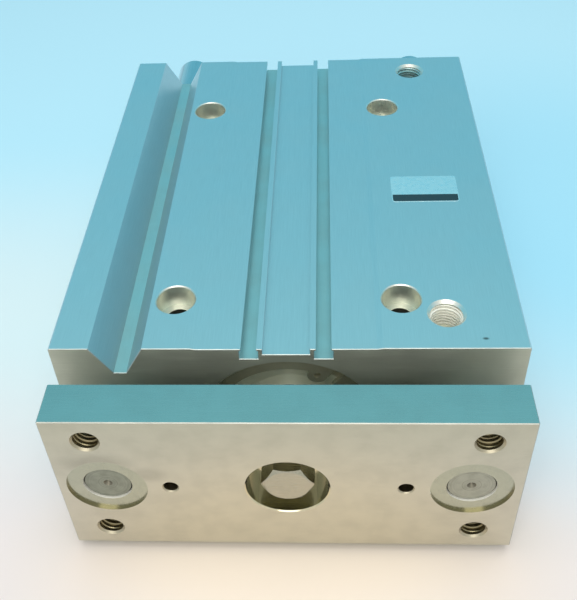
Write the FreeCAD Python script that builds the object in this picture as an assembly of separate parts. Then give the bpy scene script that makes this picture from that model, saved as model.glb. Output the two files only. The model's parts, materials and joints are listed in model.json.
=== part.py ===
"""Guided pneumatic cylinder: one drawn body with a piston bore between two guide rods.

Millimetres.  The origin is the centre of the four body mounting holes on the bottom face.
+Z is up, +X is the port side and the front plate faces -Y.  The plate is modelled drawn in.
Depths along the cylinder are counted from the front face of the body towards the rear.
"""
import FreeCAD, Part
import math
import os

# Driving dimensions: cylinder and body
BORE = 63.0
STROKE = 150.0
BORE_WALL = 7.5
GUIDE_SPAN = 124.0
SIDE_WALL = 19.0
EDGE_BREAK = 0.5
END_BREAK = 0.2

# Stack of pieces along the cylinder axis
FRONT_RECESS = 2.5
REAR_RECESS = 2.7
COVER_RING_THICK = 2.0
COVER_FLANGE = 9.0
COVER_NECK = 4.0
HEAD_NECK = 4.0
HEAD_FLANGE = 5.8
BUMPER_THICK = 1.8
STOP_GAP = 0.2

# Fits: radial gap of pieces that stay together, of pieces that run, and of open holes
SEAT_GAP = 0.03
RUN_GAP = 0.05
OPEN_GAP = 0.4

# Body section: groove on the left, switch slots, centre land, lower middle, foot slots
VEE_CENTRE = -58.0
VEE_MOUTH = 18.4
VEE_FLOOR = 4.4
VEE_DEPTH = 12.1
MIDDLE_HALF = 31.5
MIDDLE_DROP = 0.38
MIDDLE_RAMP = 2.0
CENTRE_LAND = 16.0
CENTRE_DROP = 2.95
SWITCH_RIB = 2.0
SWITCH_MOUTH = 5.3
SWITCH_LIP = 0.85
SWITCH_UNDERCUT = 0.55
SWITCH_DEPTH = 5.1
FOOT_SPAN = 110.0
FOOT_MOUTH = 11.0
FOOT_WIDTH = 17.8
FOOT_LIP = 10.0
FOOT_SIDE = 7.0
FOOT_CORNER = 1.5

# Holes in the body
MOUNT_SPAN_X = 80.0
MOUNT_SPAN_Y = 128.0
MOUNT_FIRST_ROW = 24.0
MOUNT_HOLE = 8.6
MOUNT_HEAD_HOLE = 14.0
MOUNT_HEAD_DEPTH = 9.0
HOLE_BREAK = 0.4
TAP_BREAK = 0.75
PORT_BREAK = 1.1
BASE_PIN = 5.0
BASE_PIN_DEPTH = 6.0
BASE_PIN_SPAN = 80.0
REAR_SPAN_X = 148.0
REAR_SPAN_Z = 30.0
TAP_DRILL = 8.5
REAR_TAP_DEPTH = 20.0
PORT_X = 55.0
PORT_DRILL = 11.44
PORT_DEPTH = 12.0
SIDE_PORT_DEPTH = 14.0
AIR_DRILL = 5.0
AIR_FLANGE_WALL = 0.5
AIR_DROP = 12.0
PLUG_LENGTH = 9.0
PLUG_RECESS = 1.2
PLUG_KEY = 6.0
PLUG_KEY_DEPTH = 4.5
BORE_MOUTH_BREAK = 1.0

# Rod cover, head cover and their rings
COVER_NECK_DIA = 48.0
DISH_MOUTH_DIA = 52.0
DISH_FLOOR_DIA = 32.0
DISH_DEPTH = 4.5
HUB_DIA = 30.0
ROD_BUSH_LENGTH = 6.7
ROD_BUSH_WALL = 2.0
ROD_SEAL_WIDTH = 3.2
ROD_SEAL_WALL = 3.6
ROD_SEAL_LIP = 1.2
SEAL_FRONT_WALL = 1.0
SEAL_REAR_WALL = 0.6
O_RING_WIDTH = 2.6
O_RING_DEPTH = 2.2
HEAD_DISH_DIA = 46.0
HEAD_DISH_DEPTH = 2.0
HEAD_BOSS_DIA = 24.0
HEAD_BOSS_HEIGHT = 1.2
BUMPER_RIM = 0.5
RING_GROOVE_DEPTH = 1.5
RING_WIDTH = 5.5
RING_LUG_DIA = 7.2
RING_LUG_HOLE = 2.5
RING_LUG_CENTRE = 6.5
RING_LUG_SPREAD = 12.5
RING_OPENING = 8.0
FRONT_RING_TURN = 37.0
REAR_RING_TURN = 180.0

# Piston and piston rod
PISTON_ROD = 20.0
PISTON_END_LAND = 1.2
PISTON_MID_LAND = 1.0
WEAR_WIDTH = 2.5
WEAR_DEPTH = 1.6
MAGNET_WIDTH = 2.6
MAGNET_DEPTH = 4.0
MAGNET_COVER = 0.6
PISTON_SEAL_WIDTH = 3.5
PISTON_SEAL_DEPTH = 3.8
HUB_CLEARANCE = 1.2
ROD_TAIL = 14.0
RIVET_FLARE = 1.5
GASKET_WIDTH = 2.2
GASKET_DEPTH = 1.4
GASKET_SETBACK = 3.0

# Guide rods and what they run in
GUIDE_ROD = 20.0
GUIDE_TAIL = 57.5
GUIDE_END_BREAK = 1.0
GUIDE_SPIGOT = 17.0
BUSH_OUTER = 28.0
BUSH_LENGTH = 30.0
BUSH_SLEEVE_WALL = 1.8
BUSH_END_BREAK = 0.6
SPACER_LENGTH = 25.0
SPACER_WALL = 2.0
TAIL_BORE = 23.0
GUIDE_RING_RECESS = 0.9
GUIDE_RING_THICK = 1.3
GUIDE_RING_DEPTH = 0.7
GUIDE_RING_WIDTH = 2.0
GUIDE_RING_OPENING = 32.0
GUIDE_RING_TURN = 180.0
HOLDER_LENGTH = 4.8
HOLDER_LIP = 1.0
HOLDER_WALL = 1.0
CENTRE_DRILL = 3.15

# Front plate and the bolt that holds the piston rod
PLATE_GAP = 12.0
PLATE_THICK = 16.0
PLATE_BREAK = 0.3
PLATE_INSET_X = 2.0
PLATE_INSET_Z = 4.0
PLATE_SPAN_X = 130.0
PLATE_SPAN_Z = 50.0
PLATE_PIN = 5.0
PLATE_PIN_DEPTH = 10.0
PLATE_PIN_SPAN = 80.0
GUIDE_SEAT_DIA = 28.0
GUIDE_SEAT_DEPTH = 1.0
SPIGOT_SETBACK = 1.6
BOLT_SEAT_DIA = 28.4
BOLT_DIA = 10.0
BOLT_HEAD_AF = 16.0
BOLT_HEAD_HEIGHT = 6.4
BOLT_HEAD_SETBACK = 0.8
BOLT_HEAD_TOP = 15.2
BOLT_GRIP = 20.0
BOLT_TIP_ROOM = 3.0

# Radii
BORE_R = BORE / 2
ROD_R = PISTON_ROD / 2
GUIDE_R = GUIDE_ROD / 2
GUIDE_BORE_R = BUSH_OUTER / 2
GUIDE_X = GUIDE_SPAN / 2

# Section of the body
BODY_HEIGHT = BORE + 2 * BORE_WALL
BODY_HALF = GUIDE_X + SIDE_WALL
AXIS_Z = BODY_HEIGHT / 2
AIR_Z = BODY_HEIGHT - AIR_DROP

# Depths along the cylinder, from the front face of the body
PISTON_LENGTH = (2 * PISTON_END_LAND + 2 * PISTON_MID_LAND
                 + WEAR_WIDTH + MAGNET_WIDTH + PISTON_SEAL_WIDTH)
COVER_FRONT = FRONT_RECESS + COVER_RING_THICK
COVER_FLANGE_END = COVER_FRONT + COVER_FLANGE
COVER_NECK_END = COVER_FLANGE_END + COVER_NECK
DISH_FLOOR = COVER_FRONT + DISH_DEPTH
SEAL_START = DISH_FLOOR + SEAL_FRONT_WALL
SEAL_END = SEAL_START + ROD_SEAL_WIDTH
ROD_BUSH_START = SEAL_END + SEAL_REAR_WALL
HUB_END = ROD_BUSH_START + ROD_BUSH_LENGTH
PISTON_OUT = COVER_NECK_END + BUMPER_THICK + STOP_GAP
PISTON_FRONT = PISTON_OUT + STROKE
PISTON_REAR = PISTON_FRONT + PISTON_LENGTH
REAR_BUMPER = PISTON_REAR + STOP_GAP
HEAD_FRONT = REAR_BUMPER + BUMPER_THICK
HEAD_FLANGE_START = HEAD_FRONT + HEAD_NECK
HEAD_REAR = HEAD_FLANGE_START + HEAD_FLANGE
REAR_RING = HEAD_REAR
BODY_LENGTH = REAR_RING + COVER_RING_THICK + REAR_RECESS
FRONT_PORT = COVER_FLANGE_END + AIR_FLANGE_WALL + AIR_DRILL / 2
REAR_PORT = HEAD_FLANGE_START - AIR_FLANGE_WALL - AIR_DRILL / 2

# Depths along the guide bores
HOLDER_START = GUIDE_RING_RECESS + GUIDE_RING_THICK
FRONT_BUSH = HOLDER_START + HOLDER_LENGTH
SPACER_START = FRONT_BUSH + BUSH_LENGTH
REAR_BUSH = SPACER_START + SPACER_LENGTH
GUIDE_BORE_END = REAR_BUSH + BUSH_LENGTH
GUIDE_END = BODY_LENGTH + GUIDE_TAIL

# Depths of the front plate, ahead of the body
PLATE_REAR = -PLATE_GAP
PLATE_FRONT = PLATE_REAR - PLATE_THICK
BOLT_SEAT = PLATE_FRONT + BOLT_HEAD_SETBACK + BOLT_HEAD_HEIGHT

# Frame: the front face of the body lies this far ahead of the origin
Y_FRONT = -(MOUNT_FIRST_ROW + MOUNT_SPAN_Y / 2)

UP = FreeCAD.Vector(0, 0, 1)
DOWN = FreeCAD.Vector(0, 0, -1)
REARWARD = FreeCAD.Vector(0, 1, 0)
FORWARD = FreeCAD.Vector(0, -1, 0)
LEFTWARD = FreeCAD.Vector(-1, 0, 0)
DRILL_TIP = math.tan(math.radians(31))
SIDES = {"left": -GUIDE_X, "right": GUIDE_X}


def place(x, depth, height):
    """Point at a depth behind the front face of the body."""
    return FreeCAD.Vector(x, Y_FRONT + depth, height)


def turned(outline, x=0.0):
    """Solid turned about the cylinder's or a guide's axis from (radius, depth) corners."""
    points = [place(x + radius, depth, AXIS_Z) for radius, depth in outline]
    face = Part.Face(Part.makePolygon(points + points[:1]))
    return face.revolve(place(x, 0, AXIS_Z), REARWARD, 360)


def tube(outer, inner, start, end, x=0.0):
    """Plain ring between two radii and two depths."""
    return turned([(inner, start), (outer, start), (outer, end), (inner, end)], x)


def bar(radius, start, end, x=0.0):
    """Plain round bar between two depths."""
    return turned([(0, start), (radius, start), (radius, end), (0, end)], x)


def soft_ring(outer, inner, start, end):
    """Ring of round-cornered section, as a seal or an O-ring squeezed in its groove."""
    corner = min(outer - inner, end - start) / 4
    return turned([
        (inner + corner, start), (outer - corner, start), (outer, start + corner),
        (outer, end - corner), (outer - corner, end), (inner + corner, end),
        (inner, end - corner), (inner, start + corner)])


def drill(radius, depth, mouth, inward, break_size=0.0, tipped=False):
    """Cutter for a round hole that runs inward from its mouth."""
    cutter = Part.makeCylinder(radius, depth, mouth, inward)
    if break_size > 0:
        cone = Part.makeCone(radius + break_size, radius, break_size, mouth, inward)
        cutter = cutter.fuse(cone)
    if tipped:
        tip = Part.makeCone(radius, 0, radius * DRILL_TIP, mouth + inward * depth, inward)
        cutter = cutter.fuse(tip)
    return cutter


def corners(span_a, span_b):
    """The four corners of a rectangle about the origin."""
    return [(a * span_a / 2, b * span_b / 2) for a in (-1, 1) for b in (-1, 1)]


def cut_all(shape, cutters):
    """The shape with every cutter taken from it."""
    for cutter in cutters:
        shape = shape.cut(cutter)
    return shape


def foot_slot(centre):
    """Outline of one T-slot in the bottom face, from left to right."""
    half_mouth = FOOT_MOUTH / 2
    half_width = FOOT_WIDTH / 2
    side_top = FOOT_LIP + FOOT_SIDE
    right = [
        (half_width - FOOT_CORNER, side_top + FOOT_CORNER), (half_width, side_top),
        (half_width, FOOT_LIP), (half_mouth, FOOT_LIP), (half_mouth, 0)]
    left = [(-x, z) for x, z in reversed(right)]
    return [(centre + x, z) for x, z in left + right]


def switch_side():
    """Outline of the right half of the top: outer land, ramp, switch slot, rib, centre land."""
    top = BODY_HEIGHT
    low = top - MIDDLE_DROP
    rib_inner = CENTRE_LAND / 2
    mouth_inner = rib_inner + SWITCH_RIB
    mouth_outer = mouth_inner + SWITCH_MOUTH
    lip = low - SWITCH_LIP
    floor = top - SWITCH_DEPTH
    return [
        (MIDDLE_HALF + MIDDLE_RAMP / 2, top), (MIDDLE_HALF - MIDDLE_RAMP / 2, low),
        (mouth_outer, low), (mouth_outer, lip),
        (mouth_outer + SWITCH_UNDERCUT, lip), (mouth_outer + SWITCH_UNDERCUT, floor),
        (mouth_inner - SWITCH_UNDERCUT, floor), (mouth_inner - SWITCH_UNDERCUT, lip),
        (mouth_inner, lip), (mouth_inner, low),
        (rib_inner, low), (rib_inner, top - CENTRE_DROP)]


def vee_groove():
    """Outline of the groove in the left of the top, from right to left."""
    top = BODY_HEIGHT
    return [
        (VEE_CENTRE + VEE_MOUTH / 2, top), (VEE_CENTRE + VEE_FLOOR / 2, top - VEE_DEPTH),
        (VEE_CENTRE - VEE_FLOOR / 2, top - VEE_DEPTH), (VEE_CENTRE - VEE_MOUTH / 2, top)]


def body_bar():
    """The drawn aluminium bar that the body is cut from, with the edges of its sawn ends broken."""
    side = BODY_HALF
    top = BODY_HEIGHT
    edge = EDGE_BREAK
    right_top = switch_side()
    left_top = [(-x, z) for x, z in reversed(right_top)]
    outline = [(-side + edge, 0)]
    outline += foot_slot(-FOOT_SPAN / 2)
    outline += foot_slot(FOOT_SPAN / 2)
    outline += [(side - edge, 0), (side, edge), (side, top - edge), (side - edge, top)]
    outline += right_top
    outline += left_top
    outline += vee_groove()
    outline += [(-side + edge, top), (-side, top - edge), (-side, edge)]
    points = [place(x, 0, z) for x, z in outline]
    section = Part.Face(Part.makePolygon(points + points[:1]))
    drawn = section.extrude(REARWARD * BODY_LENGTH)
    end_edges = [edge for edge in drawn.Edges if edge.BoundBox.YLength < END_BREAK]
    return drawn.makeChamfer(END_BREAK, end_edges)


def cylinder_bore():
    """Cutters for the piston bore, its broken mouths and the grooves of its two rings."""
    groove_r = BORE_R + RING_GROOVE_DEPTH
    mouth_r = BORE_R + BORE_MOUTH_BREAK
    front = turned([(0, 0), (mouth_r, 0), (BORE_R, BORE_MOUTH_BREAK), (0, BORE_MOUTH_BREAK)])
    rear_break = BODY_LENGTH - BORE_MOUTH_BREAK
    rear = turned([(0, rear_break), (BORE_R, rear_break), (mouth_r, BODY_LENGTH), (0, BODY_LENGTH)])
    return [
        bar(BORE_R, 0, BODY_LENGTH), front, rear,
        bar(groove_r, FRONT_RECESS, COVER_FRONT),
        bar(groove_r, REAR_RING, REAR_RING + COVER_RING_THICK)]


def guide_bores():
    """Cutters for the two bush bores, their ring grooves and the clear bores behind them."""
    cutters = []
    for x in SIDES.values():
        cutters.append(bar(GUIDE_BORE_R, 0, GUIDE_BORE_END, x))
        cutters.append(bar(GUIDE_BORE_R + GUIDE_RING_DEPTH, GUIDE_RING_RECESS, HOLDER_START, x))
        cutters.append(bar(TAIL_BORE / 2, 0, BODY_LENGTH, x))
    return cutters


def mounting_holes():
    """Cutters for the four holes through the body, with screw-head recesses in the top."""
    cutters = []
    middle = -Y_FRONT
    for x, y in corners(MOUNT_SPAN_X, MOUNT_SPAN_Y):
        bottom = place(x, middle + y, 0)
        top = place(x, middle + y, BODY_HEIGHT)
        cutters.append(drill(MOUNT_HOLE / 2, BODY_HEIGHT, bottom, UP, TAP_BREAK))
        cutters.append(drill(MOUNT_HEAD_HOLE / 2, MOUNT_HEAD_DEPTH, top, DOWN, HOLE_BREAK))
    for x in (-BASE_PIN_SPAN / 2, BASE_PIN_SPAN / 2):
        cutters.append(drill(BASE_PIN / 2, BASE_PIN_DEPTH, place(x, middle, 0), UP, HOLE_BREAK))
    return cutters


def rear_holes():
    """Cutters for the four tapped holes in the rear face."""
    return [
        drill(TAP_DRILL / 2, REAR_TAP_DEPTH, place(x, BODY_LENGTH, AXIS_Z + z), FORWARD, TAP_BREAK, True)
        for x, z in corners(REAR_SPAN_X, REAR_SPAN_Z)]


def air_ways():
    """Cutters for the top ports, the side ports and the channels that join them to the bore."""
    cutters = []
    for depth in (FRONT_PORT, REAR_PORT):
        side = place(BODY_HALF, depth, AIR_Z)
        cutters.append(drill(PORT_DRILL / 2, PORT_DEPTH, place(PORT_X, depth, BODY_HEIGHT), DOWN, PORT_BREAK))
        cutters.append(drill(PORT_DRILL / 2, SIDE_PORT_DEPTH, side, LEFTWARD, PORT_BREAK))
        cutters.append(drill(AIR_DRILL / 2, BODY_HALF, side, LEFTWARD))
    return cutters


def body():
    """The body with everything bored, drilled and grooved in it."""
    cutters = cylinder_bore() + guide_bores() + mounting_holes() + rear_holes() + air_ways()
    return cut_all(body_bar(), cutters)


def port_plug(depth):
    """Plug with a hexagon socket in one side port."""
    face = BODY_HALF - PLUG_RECESS
    plug = Part.makeCylinder(PORT_DRILL / 2 - SEAT_GAP, PLUG_LENGTH, place(face, depth, AIR_Z), LEFTWARD)
    key_r = PLUG_KEY / math.sqrt(3)
    turns = [math.radians(60 * step) for step in range(7)]
    points = [place(face, depth + key_r * math.cos(a), AIR_Z + key_r * math.sin(a)) for a in turns]
    return plug.cut(Part.Face(Part.makePolygon(points)).extrude(LEFTWARD * PLUG_KEY_DEPTH))


def o_ring_groove(middle):
    """Corners of a groove in the rim of a cover, from front to rear."""
    rim = BORE_R - SEAT_GAP
    start = middle - O_RING_WIDTH / 2
    end = middle + O_RING_WIDTH / 2
    return [(rim, start), (rim - O_RING_DEPTH, start), (rim - O_RING_DEPTH, end), (rim, end)]


def cover_o_ring(middle):
    """O-ring in the rim of a cover."""
    rim = BORE_R - SEAT_GAP
    half = O_RING_WIDTH / 2 - SEAT_GAP
    return soft_ring(rim, rim - O_RING_DEPTH + SEAT_GAP, middle - half, middle + half)


def rod_cover():
    """Dished front cover with the seal groove and the bush seat round the piston rod."""
    rim = BORE_R - SEAT_GAP
    open_r = ROD_R + OPEN_GAP
    seal_r = ROD_R + ROD_SEAL_WALL
    seat_r = ROD_R + RUN_GAP + ROD_BUSH_WALL
    neck_r = COVER_NECK_DIA / 2
    outline = [
        (open_r, DISH_FLOOR), (DISH_FLOOR_DIA / 2, DISH_FLOOR), (DISH_MOUTH_DIA / 2, COVER_FRONT),
        (rim, COVER_FRONT)]
    outline += o_ring_groove(COVER_FRONT + COVER_FLANGE / 2)
    outline += [
        (rim, COVER_FLANGE_END), (neck_r, COVER_FLANGE_END), (neck_r, COVER_NECK_END),
        (HUB_DIA / 2, COVER_NECK_END), (HUB_DIA / 2, HUB_END), (seat_r, HUB_END),
        (seat_r, ROD_BUSH_START), (open_r, ROD_BUSH_START), (open_r, SEAL_END),
        (seal_r, SEAL_END), (seal_r, SEAL_START), (open_r, SEAL_START)]
    return turned(outline)


def rod_bush():
    """Bearing bush of the piston rod."""
    inner = ROD_R + RUN_GAP
    return tube(inner + ROD_BUSH_WALL - SEAT_GAP, inner, ROD_BUSH_START, HUB_END)


def rod_seal():
    """Lip seal of the piston rod, with a groove in its rear face."""
    inner = ROD_R + RUN_GAP
    outer = ROD_R + ROD_SEAL_WALL - SEAT_GAP
    start = SEAL_START + SEAT_GAP
    end = SEAL_END - SEAT_GAP
    middle = (start + end) / 2
    return turned([
        (inner + ROD_SEAL_LIP / 2, start), (outer, start), (outer, end), (outer - ROD_SEAL_LIP, end),
        ((inner + outer) / 2, middle), (inner + ROD_SEAL_LIP, end), (inner, end), (inner, middle)])


def head_cover():
    """Rear cover of the bore, dished outside, with a boss that holds the bumper."""
    rim = BORE_R - SEAT_GAP
    neck_r = COVER_NECK_DIA / 2
    boss_r = HEAD_BOSS_DIA / 2
    dish_r = HEAD_DISH_DIA / 2
    boss_front = HEAD_FRONT - HEAD_BOSS_HEIGHT
    outline = [
        (0, boss_front), (boss_r, boss_front), (boss_r, HEAD_FRONT), (neck_r, HEAD_FRONT),
        (neck_r, HEAD_FLANGE_START), (rim, HEAD_FLANGE_START)]
    outline += o_ring_groove(HEAD_FLANGE_START + HEAD_FLANGE / 2)
    outline += [
        (rim, HEAD_REAR), (dish_r, HEAD_REAR), (dish_r - HEAD_DISH_DEPTH, HEAD_REAR - HEAD_DISH_DEPTH),
        (0, HEAD_REAR - HEAD_DISH_DEPTH)]
    return turned(outline)


def bumper(inner_dia, start):
    """Soft stop ring on a cover."""
    return tube(COVER_NECK_DIA / 2 - BUMPER_RIM, inner_dia / 2 + SEAT_GAP, start, start + BUMPER_THICK)


def wedge(radius, start, end, turn, spread, x=0.0):
    """Sector of a disc about an axis, for opening a ring; turn is counted from +Z towards +X."""
    angles = [math.radians(turn + step * spread / 2) for step in (-1, 1)]
    points = [place(x, start, AXIS_Z)]
    points += [place(x + radius * math.sin(a), start, AXIS_Z + radius * math.cos(a)) for a in angles]
    return Part.Face(Part.makePolygon(points + points[:1])).extrude(REARWARD * (end - start))


def cover_ring(start, turn):
    """Spring ring that holds a cover, open at one place between two drilled lugs."""
    end = start + COVER_RING_THICK
    outer = BORE_R + RING_GROOVE_DEPTH - SEAT_GAP
    ring = tube(outer, BORE_R - RING_WIDTH, start, end)
    lug_r = BORE_R - RING_LUG_CENTRE
    spots = []
    for side in (-1, 1):
        angle = math.radians(turn + side * RING_LUG_SPREAD)
        spots.append(place(lug_r * math.sin(angle), start, AXIS_Z + lug_r * math.cos(angle)))
    for spot in spots:
        ring = ring.fuse(Part.makeCylinder(RING_LUG_DIA / 2, COVER_RING_THICK, spot, REARWARD))
    ring = ring.cut(wedge(2 * BORE_R, start, end, turn, RING_OPENING))
    for spot in spots:
        ring = ring.cut(Part.makeCylinder(RING_LUG_HOLE / 2, COVER_RING_THICK, spot, REARWARD))
    return ring


def guide_ring(x):
    """Flat spring ring in front of one wiper holder."""
    outer = GUIDE_BORE_R + GUIDE_RING_DEPTH - SEAT_GAP
    ring = tube(outer, GUIDE_BORE_R - GUIDE_RING_WIDTH, GUIDE_RING_RECESS, HOLDER_START, x)
    reach = 2 * GUIDE_BORE_R
    opening = wedge(reach, GUIDE_RING_RECESS, HOLDER_START, GUIDE_RING_TURN, GUIDE_RING_OPENING, x)
    return ring.cut(opening)


def wiper_holder(x):
    """Cup that keeps the felt wiper against the first bush."""
    outer = GUIDE_BORE_R - SEAT_GAP
    lip_end = HOLDER_START + HOLDER_LIP
    return turned([
        (GUIDE_R + OPEN_GAP, HOLDER_START), (outer, HOLDER_START), (outer, FRONT_BUSH),
        (outer - HOLDER_WALL, FRONT_BUSH), (outer - HOLDER_WALL, lip_end), (GUIDE_R + OPEN_GAP, lip_end)], x)


def wiper(x):
    """Felt ring that oils and wipes one guide rod."""
    outer = GUIDE_BORE_R - SEAT_GAP - HOLDER_WALL - SEAT_GAP
    return tube(outer, GUIDE_R + RUN_GAP, HOLDER_START + HOLDER_LIP, FRONT_BUSH, x)


def bush_sleeve(start, x):
    """Hard outer sleeve of one ball bush."""
    outer = GUIDE_BORE_R - SEAT_GAP
    inner = outer - BUSH_SLEEVE_WALL
    end = start + BUSH_LENGTH
    edge = BUSH_END_BREAK
    return turned([
        (inner, start), (outer - edge, start), (outer, start + edge), (outer, end - edge),
        (outer - edge, end), (inner, end)], x)


def bush_cage(start, x):
    """Ball cage of one bush, with the running bore that the guide rod slides in."""
    outer = GUIDE_BORE_R - SEAT_GAP - BUSH_SLEEVE_WALL - SEAT_GAP
    return tube(outer, GUIDE_R + RUN_GAP, start, start + BUSH_LENGTH, x)


def bush_spacer(x):
    """Tube that keeps the two bushes of one guide apart."""
    outer = GUIDE_BORE_R - SEAT_GAP
    return tube(outer, outer - SPACER_WALL, SPACER_START, REAR_BUSH, x)


def front_plate():
    """Tooling plate that the piston rod and both guide rods carry."""
    half = BODY_HALF - PLATE_INSET_X
    height = BODY_HEIGHT - 2 * PLATE_INSET_Z
    block = Part.makeBox(2 * half, PLATE_THICK, height, place(-half, PLATE_FRONT, PLATE_INSET_Z))
    plate = block.makeChamfer(PLATE_BREAK, block.Edges)
    cutters = []
    for x, z in corners(PLATE_SPAN_X, PLATE_SPAN_Z):
        tap = TAP_DRILL / 2
        cutters.append(drill(tap, PLATE_THICK, place(x, PLATE_FRONT, AXIS_Z + z), REARWARD, TAP_BREAK))
        cutters.append(drill(tap, TAP_BREAK, place(x, PLATE_REAR, AXIS_Z + z), FORWARD, TAP_BREAK))
    for x in (-PLATE_PIN_SPAN / 2, PLATE_PIN_SPAN / 2):
        spot = place(x, PLATE_FRONT, AXIS_Z)
        cutters.append(drill(PLATE_PIN / 2, PLATE_PIN_DEPTH, spot, REARWARD, HOLE_BREAK, True))
    for x in SIDES.values():
        spot = place(x, PLATE_FRONT, AXIS_Z)
        cutters.append(drill(GUIDE_SEAT_DIA / 2, GUIDE_SEAT_DEPTH, spot, REARWARD))
        cutters.append(drill(GUIDE_SPIGOT / 2, PLATE_THICK, spot, REARWARD))
    middle = place(0, PLATE_FRONT, AXIS_Z)
    cutters.append(drill(BOLT_SEAT_DIA / 2, BOLT_SEAT - PLATE_FRONT, middle, REARWARD, HOLE_BREAK))
    cutters.append(drill(BOLT_DIA / 2 + OPEN_GAP, PLATE_THICK, middle, REARWARD))
    return cut_all(plate, cutters)


def plate_bolt():
    """Hexagon bolt from the plate into the piston rod, its head flats level."""
    top = PLATE_FRONT + BOLT_HEAD_SETBACK
    across = BOLT_HEAD_AF / math.sqrt(3)
    turns = [math.radians(60 * step) for step in range(7)]
    points = [place(across * math.cos(a), top, AXIS_Z + across * math.sin(a)) for a in turns]
    hexagon = Part.Face(Part.makePolygon(points)).extrude(REARWARD * BOLT_HEAD_HEIGHT)
    top_r = BOLT_HEAD_TOP / 2
    slope = math.tan(math.radians(30)) * (across - top_r)
    rounder = turned([
        (0, top), (top_r, top), (across, top + slope), (across, BOLT_SEAT), (0, BOLT_SEAT)])
    shank = bar(BOLT_DIA / 2 - SEAT_GAP, BOLT_SEAT, PLATE_REAR + BOLT_GRIP)
    return hexagon.common(rounder).fuse(shank).removeSplitter()


def piston_rod():
    """Piston rod: tapped for the plate bolt in front, riveted through the piston behind."""
    tap_r = BOLT_DIA / 2
    tap_end = PLATE_REAR + BOLT_GRIP + BOLT_TIP_ROOM
    tail_r = ROD_TAIL / 2 - SEAT_GAP
    seat = PISTON_FRONT + hub_recess()
    gasket = seat + GASKET_SETBACK
    groove_r = tail_r - GASKET_DEPTH
    return turned([
        (0, tap_end + tap_r * DRILL_TIP), (tap_r, tap_end), (tap_r, PLATE_REAR),
        (ROD_R - EDGE_BREAK, PLATE_REAR), (ROD_R, PLATE_REAR + EDGE_BREAK), (ROD_R, seat),
        (tail_r, seat), (tail_r, gasket), (groove_r, gasket),
        (groove_r, gasket + GASKET_WIDTH), (tail_r, gasket + GASKET_WIDTH),
        (tail_r, PISTON_REAR - RIVET_FLARE), (tail_r + RIVET_FLARE, PISTON_REAR), (0, PISTON_REAR)])


def hub_recess():
    """Depth of the recess in the piston that clears the hub of the rod cover."""
    return HUB_END - PISTON_OUT + HUB_CLEARANCE


def piston_gasket():
    """O-ring between the rod's tail and the piston."""
    tail_r = ROD_TAIL / 2 - SEAT_GAP
    start = PISTON_FRONT + hub_recess() + GASKET_SETBACK + SEAT_GAP
    return soft_ring(tail_r, tail_r - GASKET_DEPTH + SEAT_GAP, start, start + GASKET_WIDTH - 2 * SEAT_GAP)


def piston_grooves():
    """Start, end and depth of each groove in the piston: wear ring, magnet, seal."""
    grooves = {}
    depth = PISTON_FRONT + PISTON_END_LAND
    sizes = {
        "wear": (WEAR_WIDTH, WEAR_DEPTH), "magnet": (MAGNET_WIDTH, MAGNET_DEPTH),
        "seal": (PISTON_SEAL_WIDTH, PISTON_SEAL_DEPTH)}
    for name, (width, deep) in sizes.items():
        grooves[name] = (depth, depth + width, deep)
        depth += width + PISTON_MID_LAND
    return grooves


def piston():
    """Piston with three rim grooves, a recess for the cover's hub and a flared rivet seat."""
    rim = BORE_R - OPEN_GAP
    hole_r = ROD_TAIL / 2
    recess_r = HUB_DIA / 2 + HUB_CLEARANCE
    recess_end = PISTON_FRONT + hub_recess()
    outline = [(hole_r, recess_end), (recess_r, recess_end), (recess_r, PISTON_FRONT), (rim, PISTON_FRONT)]
    for start, end, deep in piston_grooves().values():
        outline += [(rim, start), (rim - deep, start), (rim - deep, end), (rim, end)]
    outline += [
        (rim, PISTON_REAR), (hole_r + RIVET_FLARE, PISTON_REAR), (hole_r, PISTON_REAR - RIVET_FLARE)]
    return turned(outline)


def wear_ring():
    """Guide band of the piston."""
    start, end, deep = piston_grooves()["wear"]
    root = BORE_R - OPEN_GAP - deep + SEAT_GAP
    return tube(BORE_R - RUN_GAP, root, start + SEAT_GAP, end - SEAT_GAP)


def magnet_ring():
    """Magnet that the switches in the body's slots sense."""
    start, end, deep = piston_grooves()["magnet"]
    root = BORE_R - OPEN_GAP - deep + SEAT_GAP
    return tube(BORE_R - OPEN_GAP - MAGNET_COVER, root, start + SEAT_GAP, end - SEAT_GAP)


def piston_seal():
    """Rubber seal of the piston."""
    start, end, deep = piston_grooves()["seal"]
    root = BORE_R - OPEN_GAP - deep + SEAT_GAP
    return soft_ring(BORE_R - RUN_GAP, root, start + SEAT_GAP, end - SEAT_GAP)


def guide_rod(x):
    """Guide rod with its spigot through the plate and a centre hole in each end."""
    spigot_r = GUIDE_SPIGOT / 2 - SEAT_GAP
    front = PLATE_FRONT + SPIGOT_SETBACK
    centre_r = CENTRE_DRILL / 2
    edge = GUIDE_END_BREAK
    return turned([
        (0, front + centre_r), (centre_r, front), (spigot_r - EDGE_BREAK, front),
        (spigot_r, front + EDGE_BREAK), (spigot_r, PLATE_REAR), (GUIDE_R, PLATE_REAR),
        (GUIDE_R, GUIDE_END - edge), (GUIDE_R - edge, GUIDE_END),
        (centre_r, GUIDE_END), (0, GUIDE_END - centre_r)], x)


def guide_pieces(side, x):
    """Every piece of one guide, by name."""
    return {
        f"{side}_guide_rod": guide_rod(x),
        f"{side}_guide_ring": guide_ring(x),
        f"{side}_wiper_holder": wiper_holder(x),
        f"{side}_wiper": wiper(x),
        f"{side}_front_bush_sleeve": bush_sleeve(FRONT_BUSH, x),
        f"{side}_front_bush_cage": bush_cage(FRONT_BUSH, x),
        f"{side}_bush_spacer": bush_spacer(x),
        f"{side}_rear_bush_sleeve": bush_sleeve(REAR_BUSH, x),
        f"{side}_rear_bush_cage": bush_cage(REAR_BUSH, x)}


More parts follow.
